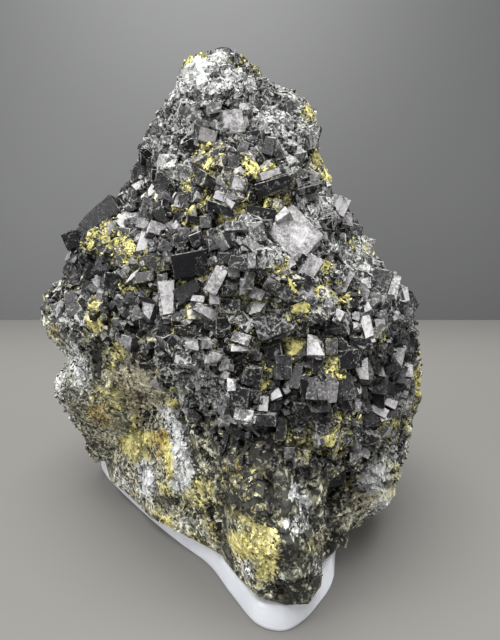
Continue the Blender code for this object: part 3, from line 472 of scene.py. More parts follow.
def crust_share(frame_points, softness=CRUST_EDGE_SOFTNESS, further=0.0):
    """1 where the crystals grow and 0 where the bare rock shows, with the edge moved further down."""
    edge = np.interp(frame_points[..., 0], CRUST_EDGE_ACROSS, CRUST_EDGE_DOWN) + further
    return np.clip((edge - frame_points[..., 1]) / softness + 0.5, 0.0, 1.0)


def outline_by_angle():
    """The outline round FACE_MIDDLE: sorted angles, distances in the frame, and depths."""
    flank = np.array(TOP + RIGHT_FLANK + RIGHT_LEDGE + LEFT_FLANK, float)
    foot = np.array(FOOT_LINE, float)
    foot_depth = at_height(foot, PUTTY_THICKNESS + TOUCH_GAP)[:, 1] - EYE[1]
    points = np.concatenate([flank[:, :2], foot])
    depths = np.concatenate([flank[:, 2] * MM, foot_depth])
    offset = points - FACE_MIDDLE
    angle = np.arctan2(-offset[:, 1], offset[:, 0])
    distance = np.hypot(offset[:, 0], offset[:, 1]) - CRYSTAL_REACH * crust_share(points)
    order = np.argsort(angle)
    return angle[order], distance[order], depths[order]


OUTLINE_ANGLE, OUTLINE_DISTANCE, OUTLINE_DEPTH = outline_by_angle()


def steady_value(cell, salt):
    """A value from 0 to 1 that is always the same for the same whole-number cell."""
    mixed = (cell @ np.array([374761393, 668265263, 1274126177]) + salt * 362437) & 0xFFFFFFFF
    mixed = ((mixed ^ (mixed >> 13)) * 1274126177) & 0xFFFFFFFF
    return ((mixed ^ (mixed >> 16)) & 0xFFFFFF) / 0x1000000


def broken_stone(points, block_size, salt):
    """Height of a surface of broken blocks: each cell has one tilted block, and the highest one shows."""
    scaled = points / block_size
    home = np.floor(scaled).astype(np.int64)
    height = np.full(points.shape[:-1], -np.inf)
    for step in np.ndindex(3, 3, 3):
        cell = home + np.array(step) - 1
        random = [steady_value(cell, salt + number) for number in range(7)]
        offset = scaled - cell - np.stack(random[:3], axis=-1)
        tilt = np.stack(random[3:6], axis=-1) - 0.5
        block = BLOCK_RISE * random[6] + np.sum(offset * tilt, axis=-1)
        height = np.maximum(height, block - BLOCK_FALL * np.abs(offset).max(axis=-1))
    return height


def soft_noise(points, size, salt):
    """Smooth values from 0 to 1: steady values at the corners of cells, eased and mixed in between."""
    scaled = points / size
    home = np.floor(scaled).astype(np.int64)
    inside = scaled - home
    eased = inside * inside * (3 - 2 * inside)
    total = 0.0
    for step in np.ndindex(2, 2, 2):
        share = np.where(np.array(step) == 1, eased, 1 - eased).prod(axis=-1)
        total = total + share * steady_value(home + np.array(step), salt)
    return total


def relief(points, kinds):
    """Height of several kinds of broken blocks on each other, level ground being 0."""
    return sum(height * (broken_stone(points, size, salt) - LEVEL_GROUND) for size, height, salt in kinds)


def front_power(around):
    """How full the front is towards each side: a cone at 1, a dome at 2."""
    return np.interp(around, *np.transpose(FRONT_POWER_AT), period=2 * np.pi)


def squared_off(tilt, power):
    """How far out and how far forward a superellipse of this power is, for a direction's tilt."""
    sine, cosine = np.abs(np.sin(tilt)), np.abs(np.cos(tilt))
    scale = (sine**power + cosine**power) ** (-1 / power)
    return (sine * scale)[..., None], cosine * scale


def fullness(out, power):
    """How far forward the front is: 1 at its middle and 0 at the outline, with a rounded middle."""
    eased = (np.hypot(out, MIDDLE_ROUND) - MIDDLE_ROUND) / (np.hypot(1.0, MIDDLE_ROUND) - MIDDLE_ROUND)
    return np.maximum(1 - eased**power, 0) ** (1 / power)


def rock_surface(around, tilt, grow=0.0):
    """The rock's surface. around is the angle in the frame, and tilt runs from 0 in front to pi behind.

    In front, points go from the outline to FACE_MIDDLE on a superellipse, and the relief lifts them along
    sight lines, so the outline stays as it is read. Behind, they close on BACK_POINT over a flat foot.
    """
    distance = np.interp(around, OUTLINE_ANGLE, OUTLINE_DISTANCE, period=2 * np.pi)
    depth = np.interp(around, OUTLINE_ANGLE, OUTLINE_DEPTH, period=2 * np.pi)
    to_rim = np.stack([np.cos(around), -np.sin(around)], axis=-1) * distance[..., None]
    rim = at_depth(FACE_MIDDLE + to_rim, depth)

    power = front_power(around)
    out = squared_off(tilt, power)[0]
    forward = (depth - FACE_DEPTH) * fullness(out[..., 0], power)
    front = at_depth(FACE_MIDDLE + to_rim * out, depth - forward)

    foot = np.clip((around - FOOT_ANGLES[0]) / FOOT_BLEND + 1, 0, 1)
    foot = foot * np.clip((FOOT_ANGLES[1] - around) / FOOT_BLEND + 1, 0, 1)
    out, backward = squared_off(tilt, BACK_POWER + (FOOT_BACK_POWER - BACK_POWER) * foot)
    back = BACK_POINT + (rim - BACK_POINT) * out
    back[..., 1] = rim[..., 1] + (BACK_POINT[1] - rim[..., 1]) * backward
    back[..., 2] -= FOOT_FLATNESS * foot * out[..., 0]

    surface = np.where((tilt <= np.pi / 2)[..., None], front, back)
    outward = outward_from_middle(surface)
    past_rim = tilt - np.pi / 2
    calm = np.clip(np.maximum(-past_rim / RIM_CALM, past_rim / BACK_CALM), 0, 1)
    calm = calm * np.clip(np.abs(np.sin(tilt)) / POLE_CALM, 0, 1)
    calm = calm * np.clip((surface[..., 2] - PUTTY_THICKNESS) / FOOT_CALM, 0, 1)
    rising = np.where((past_rim < 0)[..., None], one_long(EYE - surface), outward)
    lift = relief(surface, (LUMPS, LEDGES)) * calm
    surface = surface + rising * lift[..., None] + outward * np.asarray(grow)[..., None]
    surface[..., 2] = np.maximum(surface[..., 2], PUTTY_THICKNESS + TOUCH_GAP - grow)
    return surface


def outward_from_middle(points):
    """Directions from the rock's middle through points."""
    return one_long(points - ROCK_MIDDLE)


def surface_behind(frame_points, outermost=RIM_NEAREST):
    """The surface's angle and tilt behind points of the frame, no nearer to the rim than outermost."""
    offset = frame_points - FACE_MIDDLE
    around = np.arctan2(-offset[..., 1], offset[..., 0])
    distance = np.interp(around, OUTLINE_ANGLE, OUTLINE_DISTANCE, period=2 * np.pi)
    out = np.clip(np.hypot(offset[..., 0], offset[..., 1]) / distance, 0.0, outermost)
    power = front_power(around)
    return around, np.arctan2(out, (1 - out**power) ** (1 / power))


def point_and_normal(around, tilt):
    """Points of the surface and their outward directions, from steps to each side."""
    along = rock_surface(around + NORMAL_STEP, tilt) - rock_surface(around - NORMAL_STEP, tilt)
    across = rock_surface(around, tilt + NORMAL_STEP) - rock_surface(around, tilt - NORMAL_STEP)
    return rock_surface(around, tilt), one_long(np.cross(across, along))


def crust_wrap(around):
    """How far round the rock the crust reaches, past the outline, with an uneven edge."""
    waves = [height * np.sin(count * around + start) for count, height, start in CRUST_WRAP_WAVES]
    return CRUST_WRAP + sum(waves)


def crust_cover(around, tilt, softness=CRUST_EDGE_SOFTNESS, further=0.0):
    """1 where the crust lies on the rock and 0 where it doesn't, with a soft edge."""
    place = frame_place(rock_surface(around, np.minimum(tilt, np.pi / 2)))
    return crust_share(place, softness, further) * np.clip(
        (crust_wrap(around) - tilt) / CRUST_WRAP_SOFTNESS + 0.5, 0, 1)


def turned_offset(frame_points, middle, turn):
    """How far points of the frame are from a middle, along and beside a direction turned by degrees."""
    offset = frame_points - middle
    cosine, sine = np.cos(np.radians(turn)), np.sin(np.radians(turn))
    along = offset[..., 0] * cosine - offset[..., 1] * sine
    beside = offset[..., 0] * sine + offset[..., 1] * cosine
    return along, beside


def within_main(frame_points, margin):
    """Whether points of the frame lie on the face of a crystal read there, or nearer to it than a margin."""
    inside = np.zeros(len(frame_points), bool)
    for across, down, wide, high, turn, _ in MAIN_CRYSTALS:
        along, beside = turned_offset(frame_points, (across, down), turn)
        inside |= (np.abs(along) < wide / 2 + margin) & (np.abs(beside) < high / 2 + margin)
    return inside


def spots_at(frame_points, spots):
    """How strongly a list of spots colours points of the frame: each is an ellipse with a soft edge."""
    total = np.zeros(frame_points.shape[:-1])
    for across, down, wide, high, turn, strength in spots:
        along, beside = turned_offset(frame_points, (across, down), turn)
        distance = np.hypot(along / wide, beside / high)
        total = np.maximum(total, strength * np.clip(SPOT_END - distance, 0, 1))
    return total


def creases(frame_points, tilt):
    """How deep the cracks and how high the ridges are at points of the frame: a bell across each line."""
    depth = np.zeros(frame_points.shape[:-1])
    for most, half_width, line in CREASES:
        nearest = np.full(depth.shape, np.inf)
        for start, end in zip(np.array(line[:-1], float), np.array(line[1:], float)):
            along = np.clip((frame_points - start) @ (end - start) / np.sum((end - start) ** 2), 0, 1)
            apart_by = frame_points - start - along[..., None] * (end - start)
            nearest = np.minimum(nearest, np.hypot(apart_by[..., 0], apart_by[..., 1]))
        depth += most * MM * np.exp(-((nearest / half_width) ** 2))
    return depth * (tilt < np.pi / 2)


def stains(points, tilt):
    """Colours of points, each from 0 to 1, the dark one partly painted shade: read in the frame in front, and
    soft noise behind.
    """
    place = frame_place(points)
    front = np.clip((FRONT_FADES[0] + FRONT_FADES[1] - tilt) / FRONT_FADES[1], 0, 1)
    edge_on = np.clip((tilt - EDGE_ON[0]) / EDGE_ON[1], 0, 1)
    full, steep = EDGE_PATCH_LEVELS
    front *= 1 - edge_on * np.clip(full - steep * soft_noise(points, EDGE_PATCH, 131), 0, 1)
    colours = {}
    for name, (spots, factor, size, less, most, salt) in STAINS_AND_SHADE.items():
        behind = np.clip(factor * soft_noise(points, size, salt) - less, 0, most)
        colours[name] = spots_at(place, spots) * front + behind * (1 - front)
    return colours


def new_piece(name, points, corners, sides, material, values):
    """A piece from whole arrays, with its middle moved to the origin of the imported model.

    corners are the point numbers of every face in a row, sides is each face's number of corners, and values
    are named numbers for each point or each face, which the material reads.
    """
    mesh = bpy.data.meshes.new(name)
    mesh.vertices.add(len(points))
    mesh.vertices.foreach_set("co", (points - ORIGIN).astype(np.float32).ravel())
    mesh.loops.add(len(corners))
    mesh.loops.foreach_set("vertex_index", corners.astype(np.int32))
    mesh.polygons.add(len(sides))
    mesh.polygons.foreach_set("loop_start", (np.cumsum(sides) - sides).astype(np.int32))
    mesh.update(calc_edges=True)
    for label, numbers in values.items():
        domain = "POINT" if len(numbers) == len(points) else "FACE"
        attribute = mesh.attributes.new(label, "FLOAT", domain)
        attribute.data.foreach_set("value", np.asarray(numbers, np.float32))
    mesh.materials.append(material)
    mesh.shade_flat()
    piece = bpy.data.objects.new(name, mesh)
    bpy.context.scene.collection.objects.link(piece)
    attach(piece, "root")
    return piece


def closed_faces(rows, columns):
    """Faces of a closed surface whose points are a first pole, rows of rings, and a last pole.

    A face goes from a row to the next, then round, so it points outwards when that turns to the left.
    """
    ring = np.arange(columns)
    after = (ring + 1) % columns
    start = 1 + np.arange(rows - 1)[:, None] * columns
    quads = np.stack([start + ring, start + columns + ring, start + columns + after, start + after], axis=-1)
    first = np.stack([np.zeros(columns, int), 1 + ring, 1 + after], axis=-1)
    last_ring = 1 + (rows - 1) * columns
    last = np.stack([last_ring + ring, np.full(columns, 1 + rows * columns), last_ring + after], axis=-1)
    corners = np.concatenate([first.ravel(), quads.ravel(), last.ravel()])
    sides = np.concatenate([np.full(columns, 3), np.full(quads.size // 4, 4), np.full(columns, 3)])
    return corners, sides


def surface_grid(columns, rows):
    """Angles and tilts of a grid over the whole rock: even in front, round the edge, and behind."""
    in_front, at_edge, behind = rows
    edge_start, edge_end = np.pi / 2 - EDGE_TILT, np.pi / 2 + EDGE_TILT
    tilt = np.concatenate([
        np.linspace(0, edge_start, in_front + 1)[1:],
        np.linspace(edge_start, edge_end, at_edge + 1)[1:],
        np.linspace(edge_end, np.pi, behind + 1)[1:-1],
    ])
    around = np.linspace(-np.pi, np.pi, columns, endpoint=False)
    around, tilt = np.meshgrid(around, tilt)
    return around, tilt


def with_poles(grid):
    """A grid's points or values in a row, with the mean of its first ring before and of its last after."""
    rows = grid.reshape(grid.shape[0], grid.shape[1], -1)
    flat = np.concatenate([rows[0].mean(0)[None], rows.reshape(-1, rows.shape[-1]), rows[-1].mean(0)[None]])
    return flat if grid.ndim == 3 else flat[:, 0]


def closed_piece(name, surface, values, material, hard_angle):
    """A smooth piece from a closed grid of points, with a grid of each value that its material reads."""
    corners, sides = closed_faces(*surface.shape[:2])
    values = {label: with_poles(grid) for label, grid in values.items()}
    piece = new_piece(name, with_poles(surface), corners, sides, material, values)
    piece.data.shade_smooth()
    piece.data.set_sharp_from_angle(angle=np.radians(hard_angle))
    return piece


def edge_directions(facing, turn):
    """For each cube, three edge directions as columns: the third is facing, and turn spins it about that."""
    facing = one_long(facing)
    level = one_long(np.cross([0.0, 0.0, 1.0], facing))
    first = np.cos(turn)[:, None] * level + np.sin(turn)[:, None] * np.cross(facing, level)
    return np.stack([first, np.cross(facing, first), facing], axis=-1)


def cut_cube_faces():
    """Faces of a cube with cut edges, its point being three times the corner's number plus the axis.

    There are six faces, then twelve edge strips, then eight corners, each turned to point outwards.
    """
    faces = []
    for axis in range(3):
        for sign in (-1, 1):
            one, two = [other for other in range(3) if other != axis]
            ring = [(-1, -1), (1, -1), (1, 1), (-1, 1)]
            wanted = [{axis: sign, one: first, two: second} for first, second in ring]
            faces.append([3 * corner_number(signs) + axis for signs in wanted])
    for edge in range(3):
        one, two = [other for other in range(3) if other != edge]
        for first in (-1, 1):
            for second in (-1, 1):
                low, high = (corner_number({edge: end, one: first, two: second}) for end in (-1, 1))
                faces.append([3 * low + one, 3 * high + one, 3 * high + two, 3 * low + two])
    faces += [[3 * corner, 3 * corner + 1, 3 * corner + 2] for corner in range(8)]
    points = cut_cube_points(np.ones((1, 3)), np.full((1, 8), 0.3))[0]
    turned = []
    for face in faces:
        first, second, third = (points[number] for number in face[:3])
        outwards = np.cross(second - first, third - second) @ points[face].mean(axis=0) > 0
        turned.append(face if outwards else face[::-1])
    return turned


def corner_number(signs):
    """The number of the corner that has these signs along x, y and z."""
    return int(np.flatnonzero((CORNER_SIGNS == [signs[0], signs[1], signs[2]]).all(axis=1))[0])


def cut_cube_points(half, cut):
    """Points of many cubes with cut edges, from half sizes for each axis and a cut for each corner.

    On the face of its own axis a point stands at the full half size, and along the other two axes it is
    pulled in by the corner's cut.
    """
    pulled = half[:, None, None, :] - cut[:, :, None, None] * (1 - np.eye(3))
    points = CORNER_SIGNS[None, :, None, :] * pulled
    return points.reshape(len(half), 24, 3)


class Value:
    """A number, a colour or a place worked out by a finish's nodes. Sums and products of it are nodes too."""

    def __init__(self, finish, socket):
        self.finish, self.socket = finish, socket

    def calc(self, operation, *others, clamp=False):
        inputs = dict(enumerate((self, *others)))
        return self.finish.node("ShaderNodeMath", inputs, operation=operation, use_clamp=clamp)

    def __add__(self, other):
        return self.calc("ADD", other)

    def __sub__(self, other):
        return self.calc("SUBTRACT", other)

    def __mul__(self, other):
        return self.calc("MULTIPLY", other)

    def __pow__(self, power):
        return self.calc("POWER", power)

    def __abs__(self):
        return self.calc("ABSOLUTE")

    def limited(self):
        """The same, kept from 0 to 1."""
        return self.calc("ADD", 0.0, clamp=True)

    def between(self, low, high):
        """0 below low, 1 above high, and smooth in between."""
        inputs = {"Value": self, "From Min": low, "From Max": high}
        return self.finish.node("ShaderNodeMapRange", inputs, interpolation_type="SMOOTHSTEP")

    def other(self, output):
        """Another output of the same node."""
        return Value(self.finish, self.socket.node.outputs[output])


class Finish:
    """A material as it is put together: its nodes, its shader, and a point's place on the object."""

    def __init__(self, name):
        self.material = bpy.data.materials.new(name)
        self.material.use_nodes = True
        self.tree = self.material.node_tree
        self.shader = self.tree.nodes["Principled BSDF"]
        self.place = self.node("ShaderNodeTexCoord", output="Object")

    def node(self, kind, inputs=None, output=0, **settings):
        """Adds a node and gives one of its outputs. inputs has a value for each socket's name or number."""
        made = self.tree.nodes.new(kind)
        for name, value in settings.items():
            setattr(made, name, value)
        for key, value in (inputs or {}).items():
            self.fill(made.inputs[key], value)
        return Value(self, made.outputs[output])

    def fill(self, socket, value):
        """Gives a socket its value: a link where it is worked out, or else the plain value."""
        if isinstance(value, Value):
            self.tree.links.new(value.socket, socket)
        else:
            socket.default_value = value

    def set(self, values):
        """Gives the shader's named sockets their values."""
        for name, value in values.items():
            self.fill(self.shader.inputs[name], value)

    def bump(self, height, depth):
        """Lets the light fall as on a surface with this height, whose 1 is this deep."""
        self.set({"Normal": self.node("ShaderNodeBump", {"Height": height, "Distance": depth})})

    def read(self, label):
        """The named number that the mesh carries."""
        return self.node("ShaderNodeAttribute", output="Fac", attribute_name=label)

    def noise(self, size, detail=2.0, roughness=0.5):
        """Cloudy values about 0.5, whose largest features have this size."""
        inputs = {"Vector": self.place, "Scale": 1 / size, "Detail": detail, "Roughness": roughness}
        return self.node("ShaderNodeTexNoise", inputs)

    def cells(self, size, **settings):
        """The distance from the middle of cells of this size."""
        inputs = {"Vector": self.place, "Scale": 1 / size}
        return self.node("ShaderNodeTexVoronoi", inputs, "Distance", **settings)

    def grains(self, size):
        """Cells of this size: a random value for each cell, and the distance from its middle."""
        distance = self.cells(size)
        return self.node("ShaderNodeSeparateColor", {0: distance.other("Color")}), distance

    def blend(self, share, first, second):
        """The colour this share of the way from the first to the second, each plain or worked out."""
        first, second = (shade if isinstance(shade, Value) else (*shade, 1.0) for shade in (first, second))
        return self.node("ShaderNodeMix", {0: share, 6: first, 7: second}, 2, data_type="RGBA")


def dimmed(colour, level):
    """A plain colour times a level."""
    return [level * part for part in colour]


def rock_material(look):
    """Dark, olive and pale grains, with yellow, orange, cream and white alteration where the mesh says so.

    Each kind shows in the grains whose own random value is below its amount. Where the mesh says dark, which
    is partly dark rock and partly painted shade, the grains go to the darkest colour one by one. The relief's
    hollows and creases get painted shade.
    """
    rock = Finish("rough_rock")
    fine, fine_distance = rock.grains(0.32 * MM)
    coarse, coarse_distance = rock.grains(0.6 * MM)
    shading, _ = rock.grains(0.36 * MM)
    cloud = rock.noise(4.0 * MM, 4.0, 0.6)
    patch = rock.noise(1.5 * MM, 2.0, 0.6)
    speckle = rock.noise(0.5 * MM, 3.0, 0.65)
    # dark is partly dark rock and partly painted shade: it darkens the grains' tone here and their colour
    # below
    dark = rock.read("dark")
    mixed = fine * 0.36 + coarse * 0.28 + (rock.read("tone") - dark * 1.1) * 0.25
    mixed = mixed + (cloud - 0.5) * 0.7 + (patch - 0.5) * 0.7 + (speckle - 0.5) * 0.8
    colour = rock.blend(mixed.between(0.26, 0.38), look.dark, look.olive)
    colour = rock.blend(mixed.between(0.5, 0.66), colour, look.pale)

    chance = (speckle - 0.5) * 1.5 + (fine - 0.5) * 0.7
    for label, shade, reach, dull in (
            ("cream", look.cream, 0.9, -0.4), ("yellow", look.yellow, 0.95, 0.0),
            ("orange", look.orange, 0.8, 0.0), ("white", look.white, 0.95, -0.5)):
        amount = rock.read(label) * reach
        solid = ((amount - 0.95) * SOLID).limited()
        bright = (shading * amount.between(dull, dull + 0.5) + solid).limited()
        varied = rock.blend(bright, dimmed(shade, 0.36), shade)
        colour = rock.blend((amount + chance).between(0.38, 0.52), colour, varied)
    # Painted shade: the relief's hollows and creases go towards the crevice shade colour
    colour = rock.blend(rock.read("hollow").between(0.4, 0.95) * 0.75, colour, look.crevice_shade)
    # Partly painted shade: where the mesh says dark, grains go to the darkest colour
    colour = rock.blend(dark * (coarse * -1.1 + 1.1), colour, look.dark)
    rock.set({"Base Color": colour, "Specular IOR Level": look.sheen, "Roughness": look.roughness})
    rock.bump(speckle - fine_distance * 0.5 - coarse_distance * 0.6, 0.09 * MM)
    return rock.material


def crystal_material(look):
    """Black crystal with a submetallic gloss. The mesh says how light a face is, from black to a light grey
    coating, which is partly a real coating and partly a painted highlight, and the face is mottled. There are
    thin pale veins, dusty edges, painted shade towards the crystals' feet, and white and yellow powder that
    gathers at the crystals' feet. Where the mesh says dark, which is partly black faces and partly painted
    shade, a face that isn't light goes to jet black."""
    crystal = Finish("black_crystal")
    fine = crystal.noise(0.2 * MM, 4.0, 0.75)
    patchy = crystal.noise(0.9 * MM, 4.0, 0.65)
    worn = crystal.noise(0.35 * MM, 3.0, 0.8)
    # A face's lightness: partly a light coating, partly a painted highlight
    light = crystal.read("coat_and_highlight")
    mottle = patchy * 1.6 + fine * 1.7 - 1.7
    level = (mottle * (light * 0.45 + 0.42) + light).calc("MAXIMUM", 0.02)
    level = (level**2.2).calc("MINIMUM", 1.0) * (worn * 1.5 + 0.25)
    colour = crystal.blend(level, look.black, look.coat_and_highlight)

    wander = abs(crystal.noise(1.5 * MM, 3.0, 0.6) - 0.5)
    vein = wander.between(0.018, 0.003) * fine.between(0.42, 0.6)
    colour = crystal.blend(vein * 0.5, colour, look.edge)
    dust = crystal.blend(crystal.read("yellow"), look.edge, look.yellow)
    colour = crystal.blend(crystal.read("edge") * fine.between(0.46, 0.62) * 0.6, colour, dust)

    foot = crystal.read("foot")
    # Painted shade: faces go darker towards the crystals' feet and the skin's hollows
    colour = crystal.blend(foot.between(0.35, 0.85) * 0.8, colour, look.black)
    seam = crystal.cells(1.3 * MM, feature="DISTANCE_TO_EDGE").between(0.07, 0.025)
    frosted = (patchy * 1.6 + crystal.read("white")).between(1.15, 1.45)
    colour = crystal.blend(seam * frosted * 0.35, colour, look.white)

    speckle = crystal.noise(0.26 * MM, 4.0, 0.8)
    uneven = crystal.noise(0.8 * MM, 3.0, 0.7) * 1.8 - 0.65
    uneven = (crystal.grains(0.26 * MM)[0] * 0.5 + uneven).limited()
    for label, shade, on_top in (("white", look.white, 0.72), ("yellow", look.yellow, 0.3)):
        there = crystal.read(label)
        amount = (there * (foot * (1.05 - on_top) + on_top)).calc("MAXIMUM", there - 0.65)
        bright = (uneven + ((amount - 1.15) * SOLID).limited()).limited()
        varied = crystal.blend(bright, dimmed(shade, 0.22), shade)
        colour = crystal.blend(((speckle - 0.5) * 2.6 + amount).between(0.52, 0.68), colour, varied)
    # Partly painted shade: where the mesh says dark, a face that isn't light goes to black
    jet = crystal.read("dark") * (light * -1.6 + 1.0).limited()
    colour = crystal.blend(jet * 0.85, colour, look.black)
    gloss = level * 0.35 + patchy * 0.3 + (look.roughness - 0.15)
    crystal.set({"Base Color": colour, "Roughness": gloss, "Specular IOR Level": look.sheen,
                 "IOR": look.index})
    crystal.bump(fine * 0.8 + patchy, 0.06 * MM)
    return crystal.material


def putty_material(look):
    """Smooth white putty with a soft sheen, faint dimples and painted shade in the finger ridges' grooves."""
    putty = Finish("white_putty")
    colour = putty.blend(putty.noise(3.0 * MM, 3.0, 0.5), look.shade, look.colour)
    # Painted shade: the putty goes darker in the ridges' grooves
    colour = putty.blend(putty.read("groove_shade"), colour, look.groove_shade)
    putty.set({"Base Color": colour, "Roughness": look.roughness, "Subsurface Weight": 0.15,
               "Subsurface Radius": (0.8 * MM, 0.8 * MM, 0.9 * MM)})
    putty.bump(putty.noise(0.9 * MM), 0.05 * MM)
    return putty.material


def colour_property(name, description, default):
    """A colour that the panel shows as one."""
    return FloatVectorProperty(name=name, description=description, default=default, subtype="COLOR",
                               size=3, min=0.0, max=1.0)


def length_property(name, description, default):
    """A length, shown in the scene's units."""
    return FloatProperty(name=name, description=description, default=default, unit="LENGTH",
                         subtype="DISTANCE", precision=5)


def number_property(name, description, default, **settings):
    """A plain number, or a power where the settings say so."""
    return FloatProperty(name=name, description=description, default=default, **settings)


class RockLook(bpy.types.PropertyGroup):
    """The host rock: its fine relief, its loose grains and its colours."""

    block_height: length_property("Block height", "Height of the broken blocks 2.2 mm across", 1.2 * MM)
    chip_height: length_property("Chip height", "Height of the chips 1 mm across", 0.6 * MM)
    grain_count: IntProperty(name="Grains", description="Loose grains on the bare rock", default=15000)
    grain_size: length_property("Grain size", "Mean size of a grain", 0.3 * MM)
    dark: colour_property("Dark grains", "Colour of the darkest grains", (0.028, 0.028, 0.024))
    olive: colour_property("Olive grains", "Colour of the commonest grains", (0.185, 0.18, 0.13))
    pale: colour_property("Pale grains", "Colour of the palest grains", (0.56, 0.55, 0.43))
    cream: colour_property("Cream", "Colour of the cream alteration", (0.62, 0.585, 0.42))
    yellow: colour_property("Yellow", "Colour of the powdery yellow mineral", (0.67, 0.61, 0.25))
    orange: colour_property("Orange", "Colour of the rusty stains", (0.58, 0.42, 0.12))
    white: colour_property("White", "Colour of the white frosting", (0.63, 0.64, 0.63))
    # Painted shade at the bottom of crevices and creases
    crevice_shade: colour_property("Crevice", "Colour at the bottom of crevices", (0.012, 0.011, 0.009))
    roughness: number_property("Roughness", "Roughness of the rock", 0.78)
    sheen: number_property("Sheen", "How strongly the rock shines", 0.22)


class CrystalLook(bpy.types.PropertyGroup):
    """The crystals: how many of each size, how they stand, and their colours."""

    druse_height: length_property("Druse height", "Height of the crust's own blocks", 1.4 * MM)
    skin_height: length_property("Skin height", "How far the crust's skin stands on the rock", 0.35 * MM)
    fill_height: length_property("Fill height", "How high yellow powder fills the gaps", 0.3 * MM)
    large_spacing: number_property("Large spacing", "Reach of a large crystal, to its size", 0.38)
    small_spacing: number_property("Small spacing", "Reach of a small crystal, to its size", 0.42)
    lean: number_property("Lean", "How unevenly the crystals point", 0.5)
    darkness: number_property("Darkness", "How few of the crystals are light", 1.6)
    powder_count: IntProperty(name="Powder", description="Grains of yellow powder", default=15000)
    crumb_count: IntProperty(name="Crumbs", description="Crumbs that are tried over the front", default=9000)
    black: colour_property("Black", "Colour of the darkest faces", (0.005, 0.005, 0.006))
    # The light coating on some faces, which is partly a painted highlight
    coat_and_highlight: colour_property("Coat", "Colour of the light coat on some faces", (0.325, 0.315, 0.32))
    edge: colour_property("Edges", "Colour of dust on the edges", (0.34, 0.34, 0.32))
    white: colour_property("White", "Colour of the white frosting", (0.54, 0.55, 0.53))
    yellow: colour_property("Yellow", "Colour of the powdery yellow mineral", (0.64, 0.59, 0.225))
    roughness: number_property("Roughness", "Roughness of a clean face", 0.28)
    index: number_property("Index", "Refractive index of the crystal", 1.34)
    sheen: number_property("Sheen", "How strongly a face shines", 0.35)


class PuttyLook(bpy.types.PropertyGroup):
    """The pad of putty."""

    ridge_depth: length_property("Ridge depth", "Depth of the finger ridges pressed into it", 0.12 * MM)
    colour: colour_property("Colour", "Colour of the putty", (0.45, 0.46, 0.485))
    shade: colour_property("Shade", "Colour where it is a little dirty", (0.35, 0.36, 0.38))
    # Painted shade in the finger ridges' grooves
    groove_shade: colour_property("Groove", "Colour of the painted_shade in the ridges' grooves", (0.15, 0.15, 0.15))
    roughness: number_property("Roughness", "Roughness of the putty", 0.42)


class StageLook(bpy.types.PropertyGroup):
    """The floor, the backdrop and the lights."""

    floor_length: length_property("Floor length", "Where the backdrop stands", 216.0 * MM)
    floor: colour_property("Floor", "Colour of the floor", (0.137, 0.133, 0.124))
    backdrop: colour_property("Backdrop", "Colour of the backdrop", (0.075, 0.077, 0.076))
    key_power: number_property("Key light", "Power of the light above", 5.6, unit="POWER")
    fill_power: number_property("Side lights", "Power of the light on the left", 0.8, unit="POWER")
    world: number_property("Room light", "Strength of the light all round", 0.26)


# Fine relief fades out over this height above the putty. Where two faces of a piece meet more sharply than
# these degrees, their edge is hard.
FINE_FADE = 1.5 * MM
ROCK_HARD_ANGLE = 16
SKIN_HARD_ANGLE = 14
PUTTY_HARD_ANGLE = 60
# How clear of 0.5 a relief's hollows and tops are drawn
HOLLOW_CONTRAST = 1.6
TONE_SIZE = 2.5 * MM


def fine_kinds(look):
    """The rock's fine relief: blocks and chips."""
    return ((2.2 * MM, look.block_height, 23), (1.0 * MM, look.chip_height, 31))


def hollows(height, kinds):
    """1 at the bottom of a relief and 0 on its tops."""
    reach = sum(kind[1] for kind in kinds)
    return np.clip(0.5 - HOLLOW_CONTRAST * height / reach, 0, 1)


class SPECIMEN_OT_host_rock(bpy.types.Operator):
    """Builds the host rock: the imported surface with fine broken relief"""

    bl_idname = "specimen.host_rock"
    bl_label = "Host rock"

    def execute(self, context):
        look = context.scene.specimen_rock
        around, tilt = surface_grid(ROCK_COLUMNS, ROCK_ROWS)
        surface = rock_surface(around, tilt)
        kinds = fine_kinds(look)
        height = relief(surface, kinds) - creases(frame_place(surface), tilt)
        above = np.clip((surface[..., 2] - PUTTY_THICKNESS - TOUCH_GAP) / FINE_FADE, 0, 1)
        surface = surface + outward_from_middle(surface) * (height * above)[..., None]
        surface[..., 2] = np.maximum(surface[..., 2], PUTTY_THICKNESS)
        values = stains(surface, tilt)
        # The relief's hollows, which the rock's material paints with shade
        values["hollow"] = hollows(height, kinds)
        values["tone"] = soft_noise(surface, TONE_SIZE, 83)
        rock = closed_piece("host_rock", surface, values, rock_material(look), ROCK_HARD_ANGLE)
        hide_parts("matrix")
        return {"FINISHED"}


# Grains and crumbs: the sides of one to its size, how far each corner keeps out, and how far its middle
# lies above what it rests on, to its size
GRAIN_SIDES = (0.5, 1.2)
GRAIN_CORNERS = (0.45, 1.0)
GRAIN_SETTLED = (-0.25, 0.3)
# Loose grains on the rock: how far round it they go, the lowest one, the crust that each can do without, how
# much their sizes vary, and how dark or pale they are
GRAIN_LAST_TILT = np.radians(170)
GRAIN_LOWEST = PUTTY_THICKNESS + 1.2 * MM
GRAIN_BARE = (0.2, 1.0)
GRAIN_SPREAD = 0.35
GRAIN_TONES = (-0.4, 1.4)


def random_turns(random, count):
    """Evenly spread random rotations, as matrices, from random unit quaternions."""
    w, x, y, z = one_long(random.normal(size=(count, 4))).T
    return np.stack([
        np.stack([1 - 2 * (y * y + z * z), 2 * (x * y - w * z), 2 * (x * z + w * y)], axis=-1),
        np.stack([2 * (x * y + w * z), 1 - 2 * (x * x + z * z), 2 * (y * z - w * x)], axis=-1),
        np.stack([2 * (x * z - w * y), 2 * (y * z + w * x), 1 - 2 * (x * x + y * y)], axis=-1),
    ], axis=-2)


